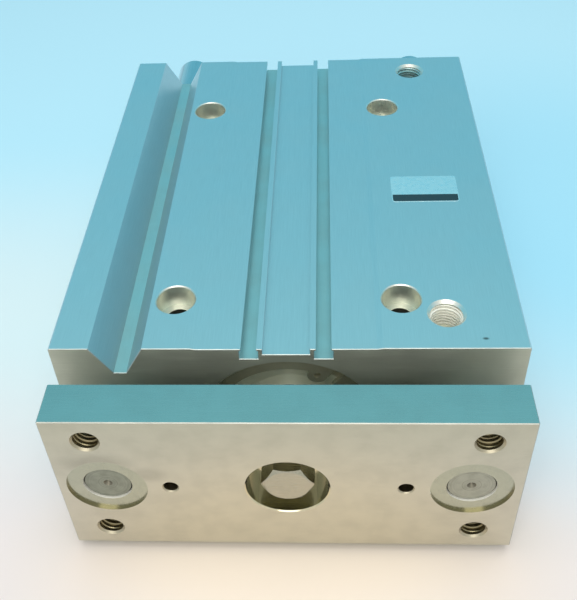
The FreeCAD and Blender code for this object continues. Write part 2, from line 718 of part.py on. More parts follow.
def all_pieces():
    """Every piece of the cylinder, by name."""
    pieces = {
        "body": body(),
        "front_port_plug": port_plug(FRONT_PORT),
        "rear_port_plug": port_plug(REAR_PORT),
        "rod_cover": rod_cover(),
        "rod_cover_o_ring": cover_o_ring(COVER_FRONT + COVER_FLANGE / 2),
        "rod_cover_ring": cover_ring(FRONT_RECESS, FRONT_RING_TURN),
        "rod_bush": rod_bush(),
        "rod_seal": rod_seal(),
        "front_bumper": bumper(HUB_DIA, COVER_NECK_END),
        "head_cover": head_cover(),
        "head_cover_o_ring": cover_o_ring(HEAD_FLANGE_START + HEAD_FLANGE / 2),
        "head_cover_ring": cover_ring(REAR_RING, REAR_RING_TURN),
        "rear_bumper": bumper(HEAD_BOSS_DIA, REAR_BUMPER),
        "front_plate": front_plate(),
        "plate_bolt": plate_bolt(),
        "piston_rod": piston_rod(),
        "piston": piston(),
        "piston_gasket": piston_gasket(),
        "wear_ring": wear_ring(),
        "magnet_ring": magnet_ring(),
        "piston_seal": piston_seal()}
    for side, x in SIDES.items():
        pieces.update(guide_pieces(side, x))
    return pieces


os.makedirs("parts", exist_ok=True)
for name, shape in all_pieces().items():
    shape.exportStep(f"parts/{name}.step")
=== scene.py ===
"""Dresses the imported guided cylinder: finishes, thread ridges, blank label, floor, light and camera."""

import json
import logging
import math
from dataclasses import dataclass
from enum import Enum, IntEnum
from typing import Iterable, Protocol, Sequence, Union

import bmesh
import bpy
from mathutils import Matrix, Vector


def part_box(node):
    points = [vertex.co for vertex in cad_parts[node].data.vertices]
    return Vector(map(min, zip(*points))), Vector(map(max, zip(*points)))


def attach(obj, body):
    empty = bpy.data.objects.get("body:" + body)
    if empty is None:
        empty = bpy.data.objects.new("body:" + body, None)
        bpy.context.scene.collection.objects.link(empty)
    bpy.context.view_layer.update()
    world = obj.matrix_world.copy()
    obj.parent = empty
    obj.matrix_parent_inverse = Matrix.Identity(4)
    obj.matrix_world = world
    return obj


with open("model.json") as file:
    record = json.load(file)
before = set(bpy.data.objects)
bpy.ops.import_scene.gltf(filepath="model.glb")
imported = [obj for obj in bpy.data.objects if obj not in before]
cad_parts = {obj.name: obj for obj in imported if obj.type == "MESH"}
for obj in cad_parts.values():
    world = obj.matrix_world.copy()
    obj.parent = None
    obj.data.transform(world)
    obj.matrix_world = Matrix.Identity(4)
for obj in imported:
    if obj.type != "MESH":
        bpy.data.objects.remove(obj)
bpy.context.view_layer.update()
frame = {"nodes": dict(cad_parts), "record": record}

log = logging.getLogger("guided_cylinder")

Colour = tuple[float, float, float]
Socket = bpy.types.NodeSocket
Input = Union[float, Sequence[float], Socket]
Face = bpy.types.MeshPolygon
Box = tuple[Vector, Vector]

MM = 0.001


# Named options

class Body(Enum):
    """The two rigid bodies of the frame."""

    HOUSING = "housing"
    CARRIAGE = "carriage"


class Side(Enum):
    """The two sides of the part that have a guide."""

    LEFT = "left"
    RIGHT = "right"


class Axis(IntEnum):
    """Directions in which holes run, as numbers of axes."""

    LENGTHWISE = 1
    UPRIGHT = 2


class Grain(Enum):
    """The way in which tool marks or rolling lines run over a metal surface."""

    LENGTHWISE = "lines along the cylinder axis"
    ACROSS = "lines from side to side"
    TURNED = "rings about an axis along the cylinder"
    EVEN = "the same in every direction"


class BarZone(IntEnum):
    """Places on the body bar that have a finish of their own, in the order of its material slots."""

    SKIN = 0
    END = 1
    END_EDGE = 2
    BORED = 3
    DRILLED = 4
    BEVEL = 5
    SLOT = 6


class PlateZone(IntEnum):
    """Places on the front plate that have a finish of their own, in the order of its material slots."""

    FACE = 0
    SIDE = 1
    EDGE = 2
    GUIDE_SEAT = 3
    SEAT_WALL = 4
    SPIGOT_WALL = 5
    BOLT_SEAT = 6
    BOLT_WALL = 7
    HOLE = 8
    BEVEL = 9


class RodZone(IntEnum):
    """Places on a guide rod that have a finish of their own, in the order of its material slots."""

    CHROME = 0
    END = 1
    EDGE = 2
    CENTRE = 3


class CoverZone(IntEnum):
    """Places on the front cover that have a finish of their own, in the order of its material slots."""

    TURNED = 0
    SLOPE = 1
    FLOOR = 2


# Tools for node trees

class Nodes:
    """Builds the nodes of one tree."""

    # The mean of a noise, and spans of it that are stretched over the whole of a result
    MEAN = 0.5
    WIDE = (0.3, 0.7)
    NARROW = (0.35, 0.65)

    def __init__(self, tree: bpy.types.NodeTree) -> None:
        """Starts with the tree's own nodes."""
        self.tree = tree

    def plug(self, socket: Socket, value: Input) -> None:
        """Links a socket to an output, or sets it.

        Args:
            socket: The input to fill.
            value: Another node's output, a number, or the parts of a vector or colour.
        """
        if isinstance(value, bpy.types.NodeSocket):
            self.tree.links.new(value, socket)
        elif isinstance(value, (int, float)):
            socket.default_value = value
        elif socket.type == "RGBA":
            socket.default_value = (*value[:3], 1.0)
        else:
            socket.default_value = value

    def add(self, kind: str, inputs: dict[Union[str, int], Input], **settings: object) -> bpy.types.Node:
        """Adds a node.

        Args:
            kind: The node's type.
            inputs: What goes into its sockets, by name or number.
            **settings: The node's own properties.

        Returns:
            The new node.
        """
        node = self.tree.nodes.new(kind)
        for name, value in settings.items():
            setattr(node, name, value)
        for name, value in inputs.items():
            self.plug(node.inputs[name], value)
        return node

    def axes(self, vector: Socket) -> tuple[Socket, Socket, Socket]:
        """The three parts of a vector."""
        node = self.add("ShaderNodeSeparateXYZ", {0: vector})
        return node.outputs[0], node.outputs[1], node.outputs[2]

    def joined(self, x: Input, y: Input, z: Input) -> Socket:
        """A vector from three parts."""
        return self.add("ShaderNodeCombineXYZ", {0: x, 1: y, 2: z}).outputs[0]

    def maths(self, operation: str, first: Input, second: Input) -> Socket:
        """One number worked out from two by a Math node's operation."""
        return self.add("ShaderNodeMath", {0: first, 1: second}, operation=operation).outputs[0]

    def divided(self, vector: Socket, sizes: Sequence[float]) -> Socket:
        """A vector measured in steps of the given sizes."""
        return self.add("ShaderNodeVectorMath", {0: vector, 1: sizes}, operation="DIVIDE").outputs[0]

    def steps(self, vector: Socket, size: float) -> Socket:
        """A vector measured in steps of one size along every axis."""
        return self.divided(vector, (size, size, size))

    def offset(self, vector: Socket, point: Sequence[float]) -> Socket:
        """A vector measured from a point."""
        return self.add("ShaderNodeVectorMath", {0: vector, 1: point}, operation="SUBTRACT").outputs[0]

    def length(self, vector: Socket) -> Socket:
        """The length of a vector."""
        return self.add("ShaderNodeVectorMath", {0: vector}, operation="LENGTH").outputs["Value"]

    def average(self, first: Socket, second: Socket) -> Socket:
        """The mean of two numbers."""
        return self.maths("MULTIPLY", self.maths("ADD", first, second), 0.5)

    def noise(self, vector: Socket, layers: float, strength: float) -> Socket:
        """Noise with features one unit wide.

        Args:
            vector: Where to read it.
            layers: The number of finer layers.
            strength: How strong the finer layers are.

        Returns:
            A number from 0 to 1, mostly near the mean.
        """
        inputs = {"Vector": vector, "Scale": 1.0, "Detail": layers, "Roughness": strength}
        return self.add("ShaderNodeTexNoise", inputs).outputs["Fac"]

    def spread(self, value: Socket, low: float, high: float, start: float, end: float) -> Socket:
        """Stretches a number from start and end to low and high.

        Args:
            value: The number.
            low: The result at start.
            high: The result at end.
            start: The value that gives low.
            end: The value that gives high.

        Returns:
            The stretched number, kept between low and high.
        """
        inputs = {"Value": value, "From Min": start, "From Max": end, "To Min": low, "To Max": high}
        return self.add("ShaderNodeMapRange", inputs, interpolation_type="SMOOTHSTEP").outputs[0]

    def mixed(self, share: Input, first: Input, second: Input) -> Socket:
        """Blends two colours.

        Args:
            share: The second colour's part.
            first: The colour at 0.
            second: The colour at 1.

        Returns:
            The blended colour.
        """
        node = self.add("ShaderNodeMix", {0: share, 6: first, 7: second}, data_type="RGBA")
        return node.outputs[2]

    def ramp(self, value: Input, stops: Sequence[tuple[float, Colour]]) -> Socket:
        """Colours along a number.

        Args:
            value: The number, from 0 to 1.
            stops: Places and their colours, in order.

        Returns:
            The colour.
        """
        node = self.add("ShaderNodeValToRGB", {0: value})
        node.color_ramp.interpolation = "EASE"
        points = node.color_ramp.elements
        for at, _ in stops[2:]:
            points.new(at)
        for point, (at, colour) in zip(points, stops):
            point.position = at
            point.color = (*colour, 1.0)
        return node.outputs[0]

    def relief(self, height: Socket, depth: float, strength: float) -> Socket:
        """A surface direction tilted by a height pattern.

        Args:
            height: The pattern.
            depth: The pattern's real depth in metres.
            strength: The share of the tilt that shows.

        Returns:
            The tilted direction.
        """
        inputs = {"Height": height, "Distance": depth, "Strength": strength}
        return self.add("ShaderNodeBump", inputs).outputs[0]


class Shader(Nodes):
    """Builds the nodes of one material."""

    # How alike the rounded and the plain direction are at an edge and on an open face
    EDGE_TURN = (0.82, 0.995)
    # Rays that look for an edge
    EDGE_SAMPLES = 4

    def __init__(self, name: str) -> None:
        """Starts a material that has one Principled surface.

        Args:
            name: The material's name.
        """
        self.material = bpy.data.materials.new(name)
        self.material.use_nodes = True
        super().__init__(self.material.node_tree)
        self.surface = self.tree.nodes["Principled BSDF"]

    def set(self, **inputs: Input) -> None:
        """Fills sockets of the surface, with underscores in place of the spaces in their names."""
        for name, value in inputs.items():
            self.plug(self.surface.inputs[name.replace("_", " ")], value)

    def place(self) -> Socket:
        """The point on the object, in metres in the shared frame."""
        return self.add("ShaderNodeTexCoord", {}).outputs["Object"]

    def edges(self, radius: float) -> Socket:
        """How near a point is to a sharp edge.

        Args:
            radius: The width of the band along an edge, in metres.

        Returns:
            A number that is 0 on open faces and rises at edges.
        """
        rounded = self.add("ShaderNodeBevel", {"Radius": radius}, samples=self.EDGE_SAMPLES).outputs[0]
        plain = self.add("ShaderNodeNewGeometry", {}).outputs["Normal"]
        turn = self.add("ShaderNodeVectorMath", {0: rounded, 1: plain}, operation="DOT_PRODUCT")
        return self.spread(turn.outputs["Value"], 1.0, 0.0, *self.EDGE_TURN)


# Kinds of finish

class Finish(Protocol):
    """Anything that can make a material."""

    name: str

    def material(self) -> bpy.types.Material:
        """Makes the material."""


def shaded(colour: Colour, factor: float) -> Colour:
    """A colour made lighter or darker by a factor, up to white."""
    return tuple(min(1.0, part * factor) for part in colour)


DIRT: Colour = (0.08, 0.075, 0.06)


@dataclass(frozen=True)
class Scuff:
    """A spot of a metal surface that is rubbed dark.

    Args:
        place: Its middle, in metres.
        reach: Its reach along each axis, in metres.
        strength: How dark it is.
    """

    place: tuple[float, float, float]
    reach: tuple[float, float, float]
    strength: float

    # Share of the reach that is as dark as the middle
    CORE = 0.3


@dataclass(frozen=True)
class MetalFinish:
    """A metal surface with its tool marks, patches and worn edges.

    Args:
        name: The material's name.
        colour: Mean colour.
        roughness: Mean roughness.
        grain: The way the marks run.
        grain_width: Width of one mark in metres.
        grain_depth: Depth of the marks in metres.
        grain_contrast: Share by which marks lighten and darken the colour.
        patch_width: Width of the cloudy patches in metres.
        patch_contrast: Share by which patches change the colour.
        uneven: Share by which roughness changes over the surface.
        metallic: How metallic the surface is.
        edge_width: Width of the worn band along sharp edges, in metres.
        edge_gain: How much lighter that band is.
        axis: Place of the axis of turned marks, from left to right and in height, in metres.
        scuffs: Spots rubbed dark.
    """

    name: str
    colour: Colour
    roughness: float
    grain: Grain = Grain.EVEN
    grain_width: float = 0.2 * MM
    grain_depth: float = 0.004 * MM
    grain_contrast: float = 0.06
    patch_width: float = 14 * MM
    patch_contrast: float = 0.05
    uneven: float = 0.25
    metallic: float = 1.0
    edge_width: float = 0.25 * MM
    edge_gain: float = 1.25
    axis: tuple[float, float] = (0.0, 0.0)
    scuffs: tuple[Scuff, ...] = ()

    # Length of a line in widths, and the finer layers of each noise with their strength
    LINE_STRETCH = 90.0
    GRAIN_NOISE = (3.0, 0.6)
    PATCH_NOISE = (4.0, 0.55)
    PATCH_SPAN = (0.35, 0.7)
    RELIEF = 0.5

    def marks(self, shader: Shader, place: Socket) -> Socket:
        """The coordinates along which the marks are drawn.

        Args:
            shader: The material being built.
            place: The point on the object.

        Returns:
            A vector in steps of one mark.
        """
        width = self.grain_width
        long = width * self.LINE_STRETCH
        if self.grain is Grain.LENGTHWISE:
            return shader.divided(place, (width, long, width))
        if self.grain is Grain.ACROSS:
            return shader.divided(place, (long, width, width))
        if self.grain is Grain.EVEN:
            return shader.steps(place, width)
        axis_x, axis_z = self.axis
        x, y, z = shader.axes(shader.offset(place, (axis_x, 0.0, axis_z)))
        from_axis = shader.length(shader.joined(x, z, 0.0))
        return shader.steps(shader.joined(from_axis, y, 0.0), width)

    def scuffed(self, shader: Shader, place: Socket, patches: Socket, colour: Socket) -> Socket:
        """Darkens the scuffed spots.

        Args:
            shader: The material being built.
            place: The point on the object.
            patches: Cloudy pattern that breaks the spots up.
            colour: The colour so far.

        Returns:
            The colour with its spots.
        """
        for spot in self.scuffs:
            away = shader.length(shader.divided(shader.offset(place, spot.place), spot.reach))
            ragged = shader.maths("SUBTRACT", shader.maths("ADD", away, patches), shader.MEAN)
            share = shader.spread(ragged, spot.strength, 0.0, spot.CORE, 1.0)
            colour = shader.mixed(share, colour, DIRT)
        return colour

    def material(self) -> bpy.types.Material:
        """Makes the material.

        Returns:
            The material.
        """
        shader = Shader(self.name)
        place = shader.place()
        grain = shader.noise(self.marks(shader, place), *self.GRAIN_NOISE)
        patches = shader.noise(shader.steps(place, self.patch_width), *self.PATCH_NOISE)
        light = shaded(self.colour, 1 + self.grain_contrast)
        dark = shaded(self.colour, 1 - self.grain_contrast)
        lined = shader.mixed(shader.spread(grain, 0.0, 1.0, *shader.WIDE), dark, light)
        dirty = shader.spread(patches, 0.0, self.patch_contrast, *self.PATCH_SPAN)
        cloudy = self.scuffed(shader, place, patches, shader.mixed(dirty, lined, DIRT))
        worn = shader.maths("MULTIPLY", shader.edges(self.edge_width), patches)
        bright = shaded(self.colour, self.edge_gain)
        shader.set(Base_Color=shader.mixed(worn, cloudy, bright), Metallic=self.metallic)
        low = self.roughness * (1 - self.uneven)
        high = min(1.0, self.roughness * (1 + self.uneven))
        shader.set(Roughness=shader.spread(shader.average(grain, patches), low, high, *shader.WIDE))
        shader.set(Normal=shader.relief(grain, self.grain_depth, self.RELIEF))
        return shader.material


@dataclass(frozen=True)
class MouldedFinish:
    """A moulded rubber, resin or bonded surface with fine specks and cloudy patches.

    Args:
        name: The material's name.
        colour: Mean colour.
        roughness: Mean roughness.
        speck_width: Width of the specks in metres.
        contrast: Share by which specks and patches change the colour.
        depth: Depth of the specks in metres.
    """

    name: str
    colour: Colour
    roughness: float
    speck_width: float = 0.3 * MM
    contrast: float = 0.2
    depth: float = 0.02 * MM

    CLOUD_STEPS = 30.0
    SPECK_NOISE = (2.0, 0.5)
    CLOUD_NOISE = (3.0, 0.5)
    SMOOTHEST = 0.85
    ROUGHEST = 1.1
    RELIEF = 0.4

    def material(self) -> bpy.types.Material:
        """Makes the material.

        Returns:
            The material.
        """
        shader = Shader(self.name)
        place = shader.place()
        specks = shader.noise(shader.steps(place, self.speck_width), *self.SPECK_NOISE)
        clouds = shader.noise(shader.steps(place, self.speck_width * self.CLOUD_STEPS), *self.CLOUD_NOISE)
        both = shader.average(specks, clouds)
        dark = shaded(self.colour, 1 - self.contrast)
        light = shaded(self.colour, 1 + self.contrast)
        shader.set(Base_Color=shader.mixed(shader.spread(both, 0.0, 1.0, *shader.NARROW), dark, light))
        low, high = self.roughness * self.SMOOTHEST, self.roughness * self.ROUGHEST
        shader.set(Roughness=shader.spread(both, low, high, *shader.WIDE))
        shader.set(Normal=shader.relief(specks, self.depth, self.RELIEF))
        return shader.material


@dataclass(frozen=True)
class FeltFinish:
    """Oiled felt: matted fibres with darker oily patches.

    Args:
        name: The material's name.
        colour: Colour of the dry fibres.
        oiled: Colour of the oily patches.
        fibre: Thickness of the fibres in metres.
    """

    name: str
    colour: Colour
    oiled: Colour
    fibre: float = 0.08 * MM

    FIBRE_LENGTH = 12.0
    FIBRE_SPACING = 3.0
    FIBRE_NOISE = (3.0, 0.7)
    SHADE_SPAN = (0.5, 0.7)
    SHADE = 0.4
    OIL_WIDTH = 4 * MM
    OIL_NOISE = (3.0, 0.6)
    OIL_SPAN = (0.45, 0.6)
    OIL = 0.8
    ROUGHNESS = 0.95
    SHEEN = 0.3
    DEPTH = 0.1 * MM
    RELIEF = 0.8

    def material(self) -> bpy.types.Material:
        """Makes the material.

        Returns:
            The material.
        """
        shader = Shader(self.name)
        place = shader.place()
        thick, long = self.fibre, self.fibre * self.FIBRE_LENGTH
        along = shader.divided(place, (thick, long, thick))
        across = shader.divided(place, (long, thick, thick * self.FIBRE_SPACING))
        fibres = shader.maths(
            "MAXIMUM", shader.noise(along, *self.FIBRE_NOISE), shader.noise(across, *self.FIBRE_NOISE))
        oil = shader.noise(shader.steps(place, self.OIL_WIDTH), *self.OIL_NOISE)
        wet = shader.mixed(shader.spread(oil, 0.0, self.OIL, *self.OIL_SPAN), self.colour, self.oiled)
        shade = shader.spread(fibres, 0.0, self.SHADE, *self.SHADE_SPAN)
        shader.set(Base_Color=shader.mixed(shade, wet, self.oiled))
        shader.set(Roughness=self.ROUGHNESS, Sheen_Weight=self.SHEEN)
        shader.set(Normal=shader.relief(fibres, self.DEPTH, self.RELIEF))
        return shader.material


@dataclass(frozen=True)
class FilmFinish:
    """Metallised label film with a fine roll grain and handling marks.

    Args:
        name: The material's name.
        colour: Colour of the film or of its band.
        roughness: Mean roughness.
        metallic: How metallic the film is.
    """

    name: str
    colour: Colour
    roughness: float
    metallic: float

    ROLL_STEPS = (6 * MM, 0.12 * MM, 0.12 * MM)
    ROLL_NOISE = (3.0, 0.6)
    MARK_WIDTH = 2 * MM
    MARK_NOISE = (4.0, 0.6)
    CONTRAST = 0.03
    UNEVEN = 0.2
    DEPTH = 0.002 * MM
    RELIEF = 0.2

    def material(self) -> bpy.types.Material:
        """Makes the material.

        Returns:
            The material.
        """
        shader = Shader(self.name)
        place = shader.place()
        roll = shader.noise(shader.divided(place, self.ROLL_STEPS), *self.ROLL_NOISE)
        marks = shader.noise(shader.steps(place, self.MARK_WIDTH), *self.MARK_NOISE)
        dark = shaded(self.colour, 1 - self.CONTRAST)
        light = shaded(self.colour, 1 + self.CONTRAST)
        shader.set(Base_Color=shader.mixed(shader.spread(roll, 0.0, 1.0, *shader.NARROW), dark, light))
        low, high = self.roughness * (1 - self.UNEVEN), self.roughness * (1 + self.UNEVEN)
        shader.set(Roughness=shader.spread(marks, low, high, *shader.NARROW))
        shader.set(Metallic=self.metallic, Normal=shader.relief(marks, self.DEPTH, self.RELIEF))
        return shader.material


@dataclass(frozen=True)
class Backdrop:
    """The pale surroundings that the camera and the metal see.

    Args:
        zenith: Surroundings right overhead.
        sky: Surroundings overhead and behind.
        sky_height: Height at which they are so, from 0 at the floor to 1 overhead.
        horizon: Surroundings near the floor, behind.
        near: Surroundings on the side of the camera.
        near_reach: Where they are all near and all behind, from -1 in front to 1 at the rear.
    """

    zenith: Colour = (0.51, 0.96, 1.0)
    sky: Colour = (0.165, 0.60, 0.78)
    sky_height: float = 0.5
    horizon: Colour = (0.36, 0.77, 0.92)
    near: Colour = (0.90, 0.88, 0.83)
    near_reach: tuple[float, float] = (-0.6, 0.2)

    def seen(self, nodes: Nodes, y: Socket, z: Input) -> Socket:
        """The colour in a direction.

        Args:
            nodes: The tree being built.
            y: The direction's part along the body.
            z: Its part upwards.

        Returns:
            The colour.
        """
        behind = nodes.ramp(z, [(0.0, self.horizon), (self.sky_height, self.sky), (1.0, self.zenith)])
        return nodes.mixed(nodes.spread(y, 1.0, 0.0, *self.near_reach), behind, self.near)


@dataclass(frozen=True)
class PaintedLightAndShade:
    """A soft round patch of painted light or painted shade on the floor.

    Args:
        colour: The paper's colour in its middle.
        place: Its middle, from left to right and along the body, in metres.
        reach: How far it goes along both, in metres.
    """

    colour: Colour
    place: tuple[float, float]
    reach: tuple[float, float]

    # Share of the reach that is as strong as the middle
    CORE = 0.2


@dataclass(frozen=True)
class FloorFinish:
    """Matt paper floor, pale blue behind, with a warm pool of light painted in front of the plate, that
    fades out far away.

    Args:
        name: The material's name.
        tones: Places along the body, in metres, and the paper's colour there.
        lights_and_shades: Patches of painted light and shade on it.
        backdrop: The surroundings that it fades into.
        fade: Distances at which that starts and ends, in metres.
    """

    name: str = "floor_paper"
    tones: tuple[tuple[float, Colour], ...] = (
        (-0.20, (0.72, 0.72, 0.66)), (-0.12, (0.84, 0.79, 0.78)), (0.0, (0.70, 0.88, 0.91)),
        (0.17, (0.49, 0.85, 0.99)))
    # A bluer painted shade to the right of the part, and a painted pool of warm light in front of the
    # plate
    lights_and_shades: tuple[PaintedLightAndShade, ...] = (
        PaintedLightAndShade((0.40, 0.79, 0.96), (0.14, 0.085), (0.15, 0.22)),
        PaintedLightAndShade((1.0, 0.88, 0.75), (0.0, -0.12), (0.13, 0.055)))
    backdrop: Backdrop = Backdrop()
    fade: tuple[float, float] = (0.45, 1.3)

    FIBRE_WIDTH = 0.6 * MM
    FIBRE_NOISE = (3.0, 0.6)
    ROUGHNESS = 0.9
    GLOSS = 0.1
    DEPTH = 0.02 * MM
    RELIEF = 0.2

    def material(self) -> bpy.types.Material:
        """Makes the material.

        Returns:
            The material.
        """
        shader = Shader(self.name)
        place = shader.place()
        _, y, _ = shader.axes(place)
        first, last = self.tones[0][0], self.tones[-1][0]
        inputs = {"Value": y, "From Min": first, "From Max": last}
        along = shader.add("ShaderNodeMapRange", inputs).outputs[0]
        paper = shader.ramp(along, [((at - first) / (last - first), colour) for at, colour in self.tones])
        for painted_patch in self.lights_and_shades:
            offset = shader.offset(place, (*painted_patch.place, 0.0))
            away = shader.length(shader.divided(offset, (*painted_patch.reach, 1.0)))
            paper = shader.mixed(shader.spread(away, 1.0, 0.0, painted_patch.CORE, 1.0), paper, painted_patch.colour)
        fibres = shader.noise(shader.steps(place, self.FIBRE_WIDTH), *self.FIBRE_NOISE)
        shader.set(Base_Color=paper, Roughness=self.ROUGHNESS, Specular_IOR_Level=self.GLOSS)
        shader.set(Normal=shader.relief(fibres, self.DEPTH, self.RELIEF))
        self.fade_out(shader, place, y)
        return shader.material

    def fade_out(self, shader: Shader, place: Socket, y: Socket) -> None:
        """Shows the camera the surroundings in place of the paper, far from the part.

        Args:
            shader: The material being built.
            place: The point on the floor.
            y: Its place along the body.
        """
        distance = shader.length(place)
        colour = self.backdrop.seen(shader, shader.maths("DIVIDE", y, distance), 0.0)
        camera = shader.add("ShaderNodeLightPath", {}).outputs["Is Camera Ray"]
        share = shader.maths("MULTIPLY", shader.spread(distance, 0.0, 1.0, *self.fade), camera)
        glow = shader.add("ShaderNodeEmission", {"Color": colour}).outputs[0]
        paper = shader.surface.outputs[0]
        either = shader.add("ShaderNodeMixShader", {0: share, 1: paper, 2: glow})
        shader.plug(shader.tree.nodes["Material Output"].inputs["Surface"], either.outputs[0])


# Places from the frame

def middle_of(node: str) -> Vector:
    """The middle of a CAD node's box."""
    low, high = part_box(node)
    return (low + high) / 2


AXIS = middle_of("piston_rod")
GUIDES = {side: middle_of(f"{side.value}_guide_rod") for side in Side}

# Shares of a face's direction along an axis: square to it, sloping, and just turned towards it
SQUARE = 0.9
SLOPING = 0.5
FACING = 0.2

# Finishes of this part
BODY_SLOT = "body_anodised"
PLATE_SLOT = "plate_nickel"

SLOT_FINISHES: dict[str, Finish] = {finish.name: finish for finish in (
    MetalFinish(
        BODY_SLOT, (0.65, 0.69, 0.70), 0.36, Grain.LENGTHWISE, grain_width=0.12 * MM,
        grain_contrast=0.04, patch_contrast=0.015, uneven=0.10, scuffs=(
            Scuff((66.6 * MM, -83.6 * MM, 78 * MM), (1.6 * MM, 0.9 * MM, 1 * MM), 0.8),)),
    MetalFinish(
        PLATE_SLOT, (0.60, 0.585, 0.49), 0.20, Grain.ACROSS, grain_width=0.10 * MM,
        grain_contrast=0.04, grain_depth=0.002 * MM, patch_width=9 * MM, patch_contrast=0.10,
        uneven=0.15, scuffs=(
            Scuff((-64 * MM, -116 * MM, 52 * MM), (16 * MM, 3 * MM, 7 * MM), 0.25),
            Scuff((-47 * MM, -116 * MM, 46 * MM), (9 * MM, 3 * MM, 5 * MM), 0.18))),
    MetalFinish("bolt_nickel", (0.465, 0.45, 0.37), 0.28, Grain.ACROSS, grain_width=0.12 * MM),
    MetalFinish("plated_steel", (0.62, 0.60, 0.54), 0.32),
    MetalFinish("rod_chrome", (0.62, 0.63, 0.64), 0.14, Grain.LENGTHWISE, grain_depth=0.001 * MM),
    MetalFinish(
        "cover_aluminium", (0.74, 0.70, 0.58), 0.4, Grain.TURNED, grain_width=0.15 * MM,
        axis=(AXIS.x, AXIS.z)),
    MetalFinish("spring_steel", (0.48, 0.475, 0.35), 0.45, patch_width=3 * MM, metallic=0.68),
    MetalFinish("bearing_steel", (0.52, 0.53, 0.55), 0.25),
    MetalFinish("bearing_bronze", (0.55, 0.38, 0.17), 0.38, patch_width=3 * MM),
    MouldedFinish("seal_rubber", (0.022, 0.022, 0.024), 0.55),
    MouldedFinish("bumper_urethane", (0.42, 0.27, 0.09), 0.4),
    MouldedFinish("cage_resin", (0.055, 0.055, 0.06), 0.5),
    MouldedFinish("wear_resin", (0.10, 0.09, 0.075), 0.6, contrast=0.35),
    MouldedFinish("magnet", (0.05, 0.042, 0.036), 0.7),
    FeltFinish("felt", (0.62, 0.56, 0.42), (0.30, 0.25, 0.16)),
)}

# The sawn ends' own grain across the bar, in a tone darker and warmer than the anodising: partly their own
# finish, partly painted shade of the gap behind the plate
CUT_END_AND_SHADE = MetalFinish(
    "cut_end_and_shade", (0.50, 0.535, 0.455), 0.5, Grain.ACROSS, grain_width=0.25 * MM, metallic=0.78)
END_EDGE = MetalFinish("end_edge", (0.50, 0.56, 0.56), 0.45, grain_width=0.15 * MM)
BORED_HOLE = MetalFinish("bored_hole", (0.79, 0.80, 0.71), 0.43, grain_width=0.3 * MM, metallic=0.92)
HOLE_BEVEL = MetalFinish(
    "hole_bevel", (0.76, 0.77, 0.72), 0.4, grain_width=0.15 * MM, grain_depth=0.002 * MM)
# Nearly black walls of the body's drilled holes and the rods' centre holes: painted shade in the holes
DRILLED_HOLE_SHADE = MetalFinish(
    "drilled_hole_shade", (0.20, 0.19, 0.15), 0.5, grain_width=0.3 * MM, grain_contrast=0.1, metallic=0.8)
# A darker, greener copy of the body's anodising on the slot floors: painted shade in the slots
SLOT_PAINTED_SHADE = MetalFinish(
    "slot_painted_shade", (0.55, 0.64, 0.615), 0.4, Grain.LENGTHWISE, grain_width=0.12 * MM, grain_contrast=0.04)
# Bare aluminium painted near white and hardly metallic: partly its own bright colour, partly the front
# lamp's cream reflection painted on as colour
THREAD_BARE_AND_REFLECTION = MetalFinish("thread_bare_and_reflection", (1.0, 0.96, 0.85), 0.40, grain_width=0.15 * MM, metallic=0.15)
# The rear port's copy of the port thread, painted darker and teal: painted shade and a painted reflection
# of the blue sky
THREAD_PAINTED_SHADE_AND_SKY = MetalFinish("thread_painted_shade_and_sky", (0.48, 0.68, 0.70), 0.42, grain_width=0.15 * MM)
# Dark threads in the plate's tapped holes, far darker than its nickel: painted shade in the holes
THREAD_NICKEL_SHADE = MetalFinish("thread_nickel_shade", (0.31, 0.27, 0.165), 0.30, grain_width=0.15 * MM)
# The plate's top and bottom faces in a darker, bluer copy of its nickel: a painted reflection of the blue
# sky
PLATE_SIDE_SKY_REFLECTION = MetalFinish(
    "plate_side_sky_reflection", (0.39, 0.49, 0.47), 0.26, Grain.ACROSS, grain_width=0.15 * MM, grain_depth=0.002 * MM,
    grain_contrast=0.03, patch_width=9 * MM)
# A darker copy of the nickel on the plate's broken edges: painted shade that dims the lamp's glint on them
PLATE_EDGE_SHADE = MetalFinish("plate_edge_shade", (0.42, 0.44, 0.41), 0.42, grain_width=0.15 * MM)
# Dark walls of the plate's tapped and pin holes: painted shade in the holes
PLATE_HOLE_SHADE = MetalFinish("plate_hole_shade", (0.30, 0.265, 0.175), 0.36)
# A darker copy of the nickel on the bevels of those holes: painted shade that dims the lamp's reflection
# in them
PLATE_BEVEL_SHADE = MetalFinish("plate_bevel_shade", (0.44, 0.41, 0.31), 0.38, grain_width=0.15 * MM)
GUIDE_SEAT = MetalFinish(
    "guide_seat", (0.475, 0.49, 0.395), 0.25, grain_contrast=0.08, patch_width=5 * MM)
# A dark olive copy of the nickel on the walls of the guide seats: painted shade
SEAT_WALL = MetalFinish(
    "seat_wall_shade", (0.31, 0.28, 0.18), 0.12, grain_width=0.15 * MM, grain_depth=0.001 * MM)
# Near white and not metallic on the walls of the spigot holes: a painted highlight, the bright crescent
# under each rod end
SPIGOT_WALL = MetalFinish("spigot_wall_highlight", (1.0, 0.97, 0.86), 0.3, grain_width=0.15 * MM, metallic=0.0)
BOLT_SEAT = MetalFinish(
    "bolt_seat", (0.66, 0.62, 0.45), 0.14, grain_contrast=0.08, grain_depth=0.001 * MM, patch_width=5 * MM)
# A dark copy of the nickel on the wall of the bolt seat: painted shade that hides the floor's reflection
# in it
BOLT_WALL = MetalFinish(
    "bolt_wall_shade", (0.28, 0.28, 0.21), 0.11, grain_contrast=0.08, grain_depth=0.001 * MM, patch_width=5 * MM)
# Near black and not metallic on the chamfer round each rod end: a painted dark ring of shade
ROD_EDGE_SHADE = MetalFinish("rod_edge_shade", (0.05, 0.047, 0.035), 0.7, grain_width=0.15 * MM, metallic=0.0)
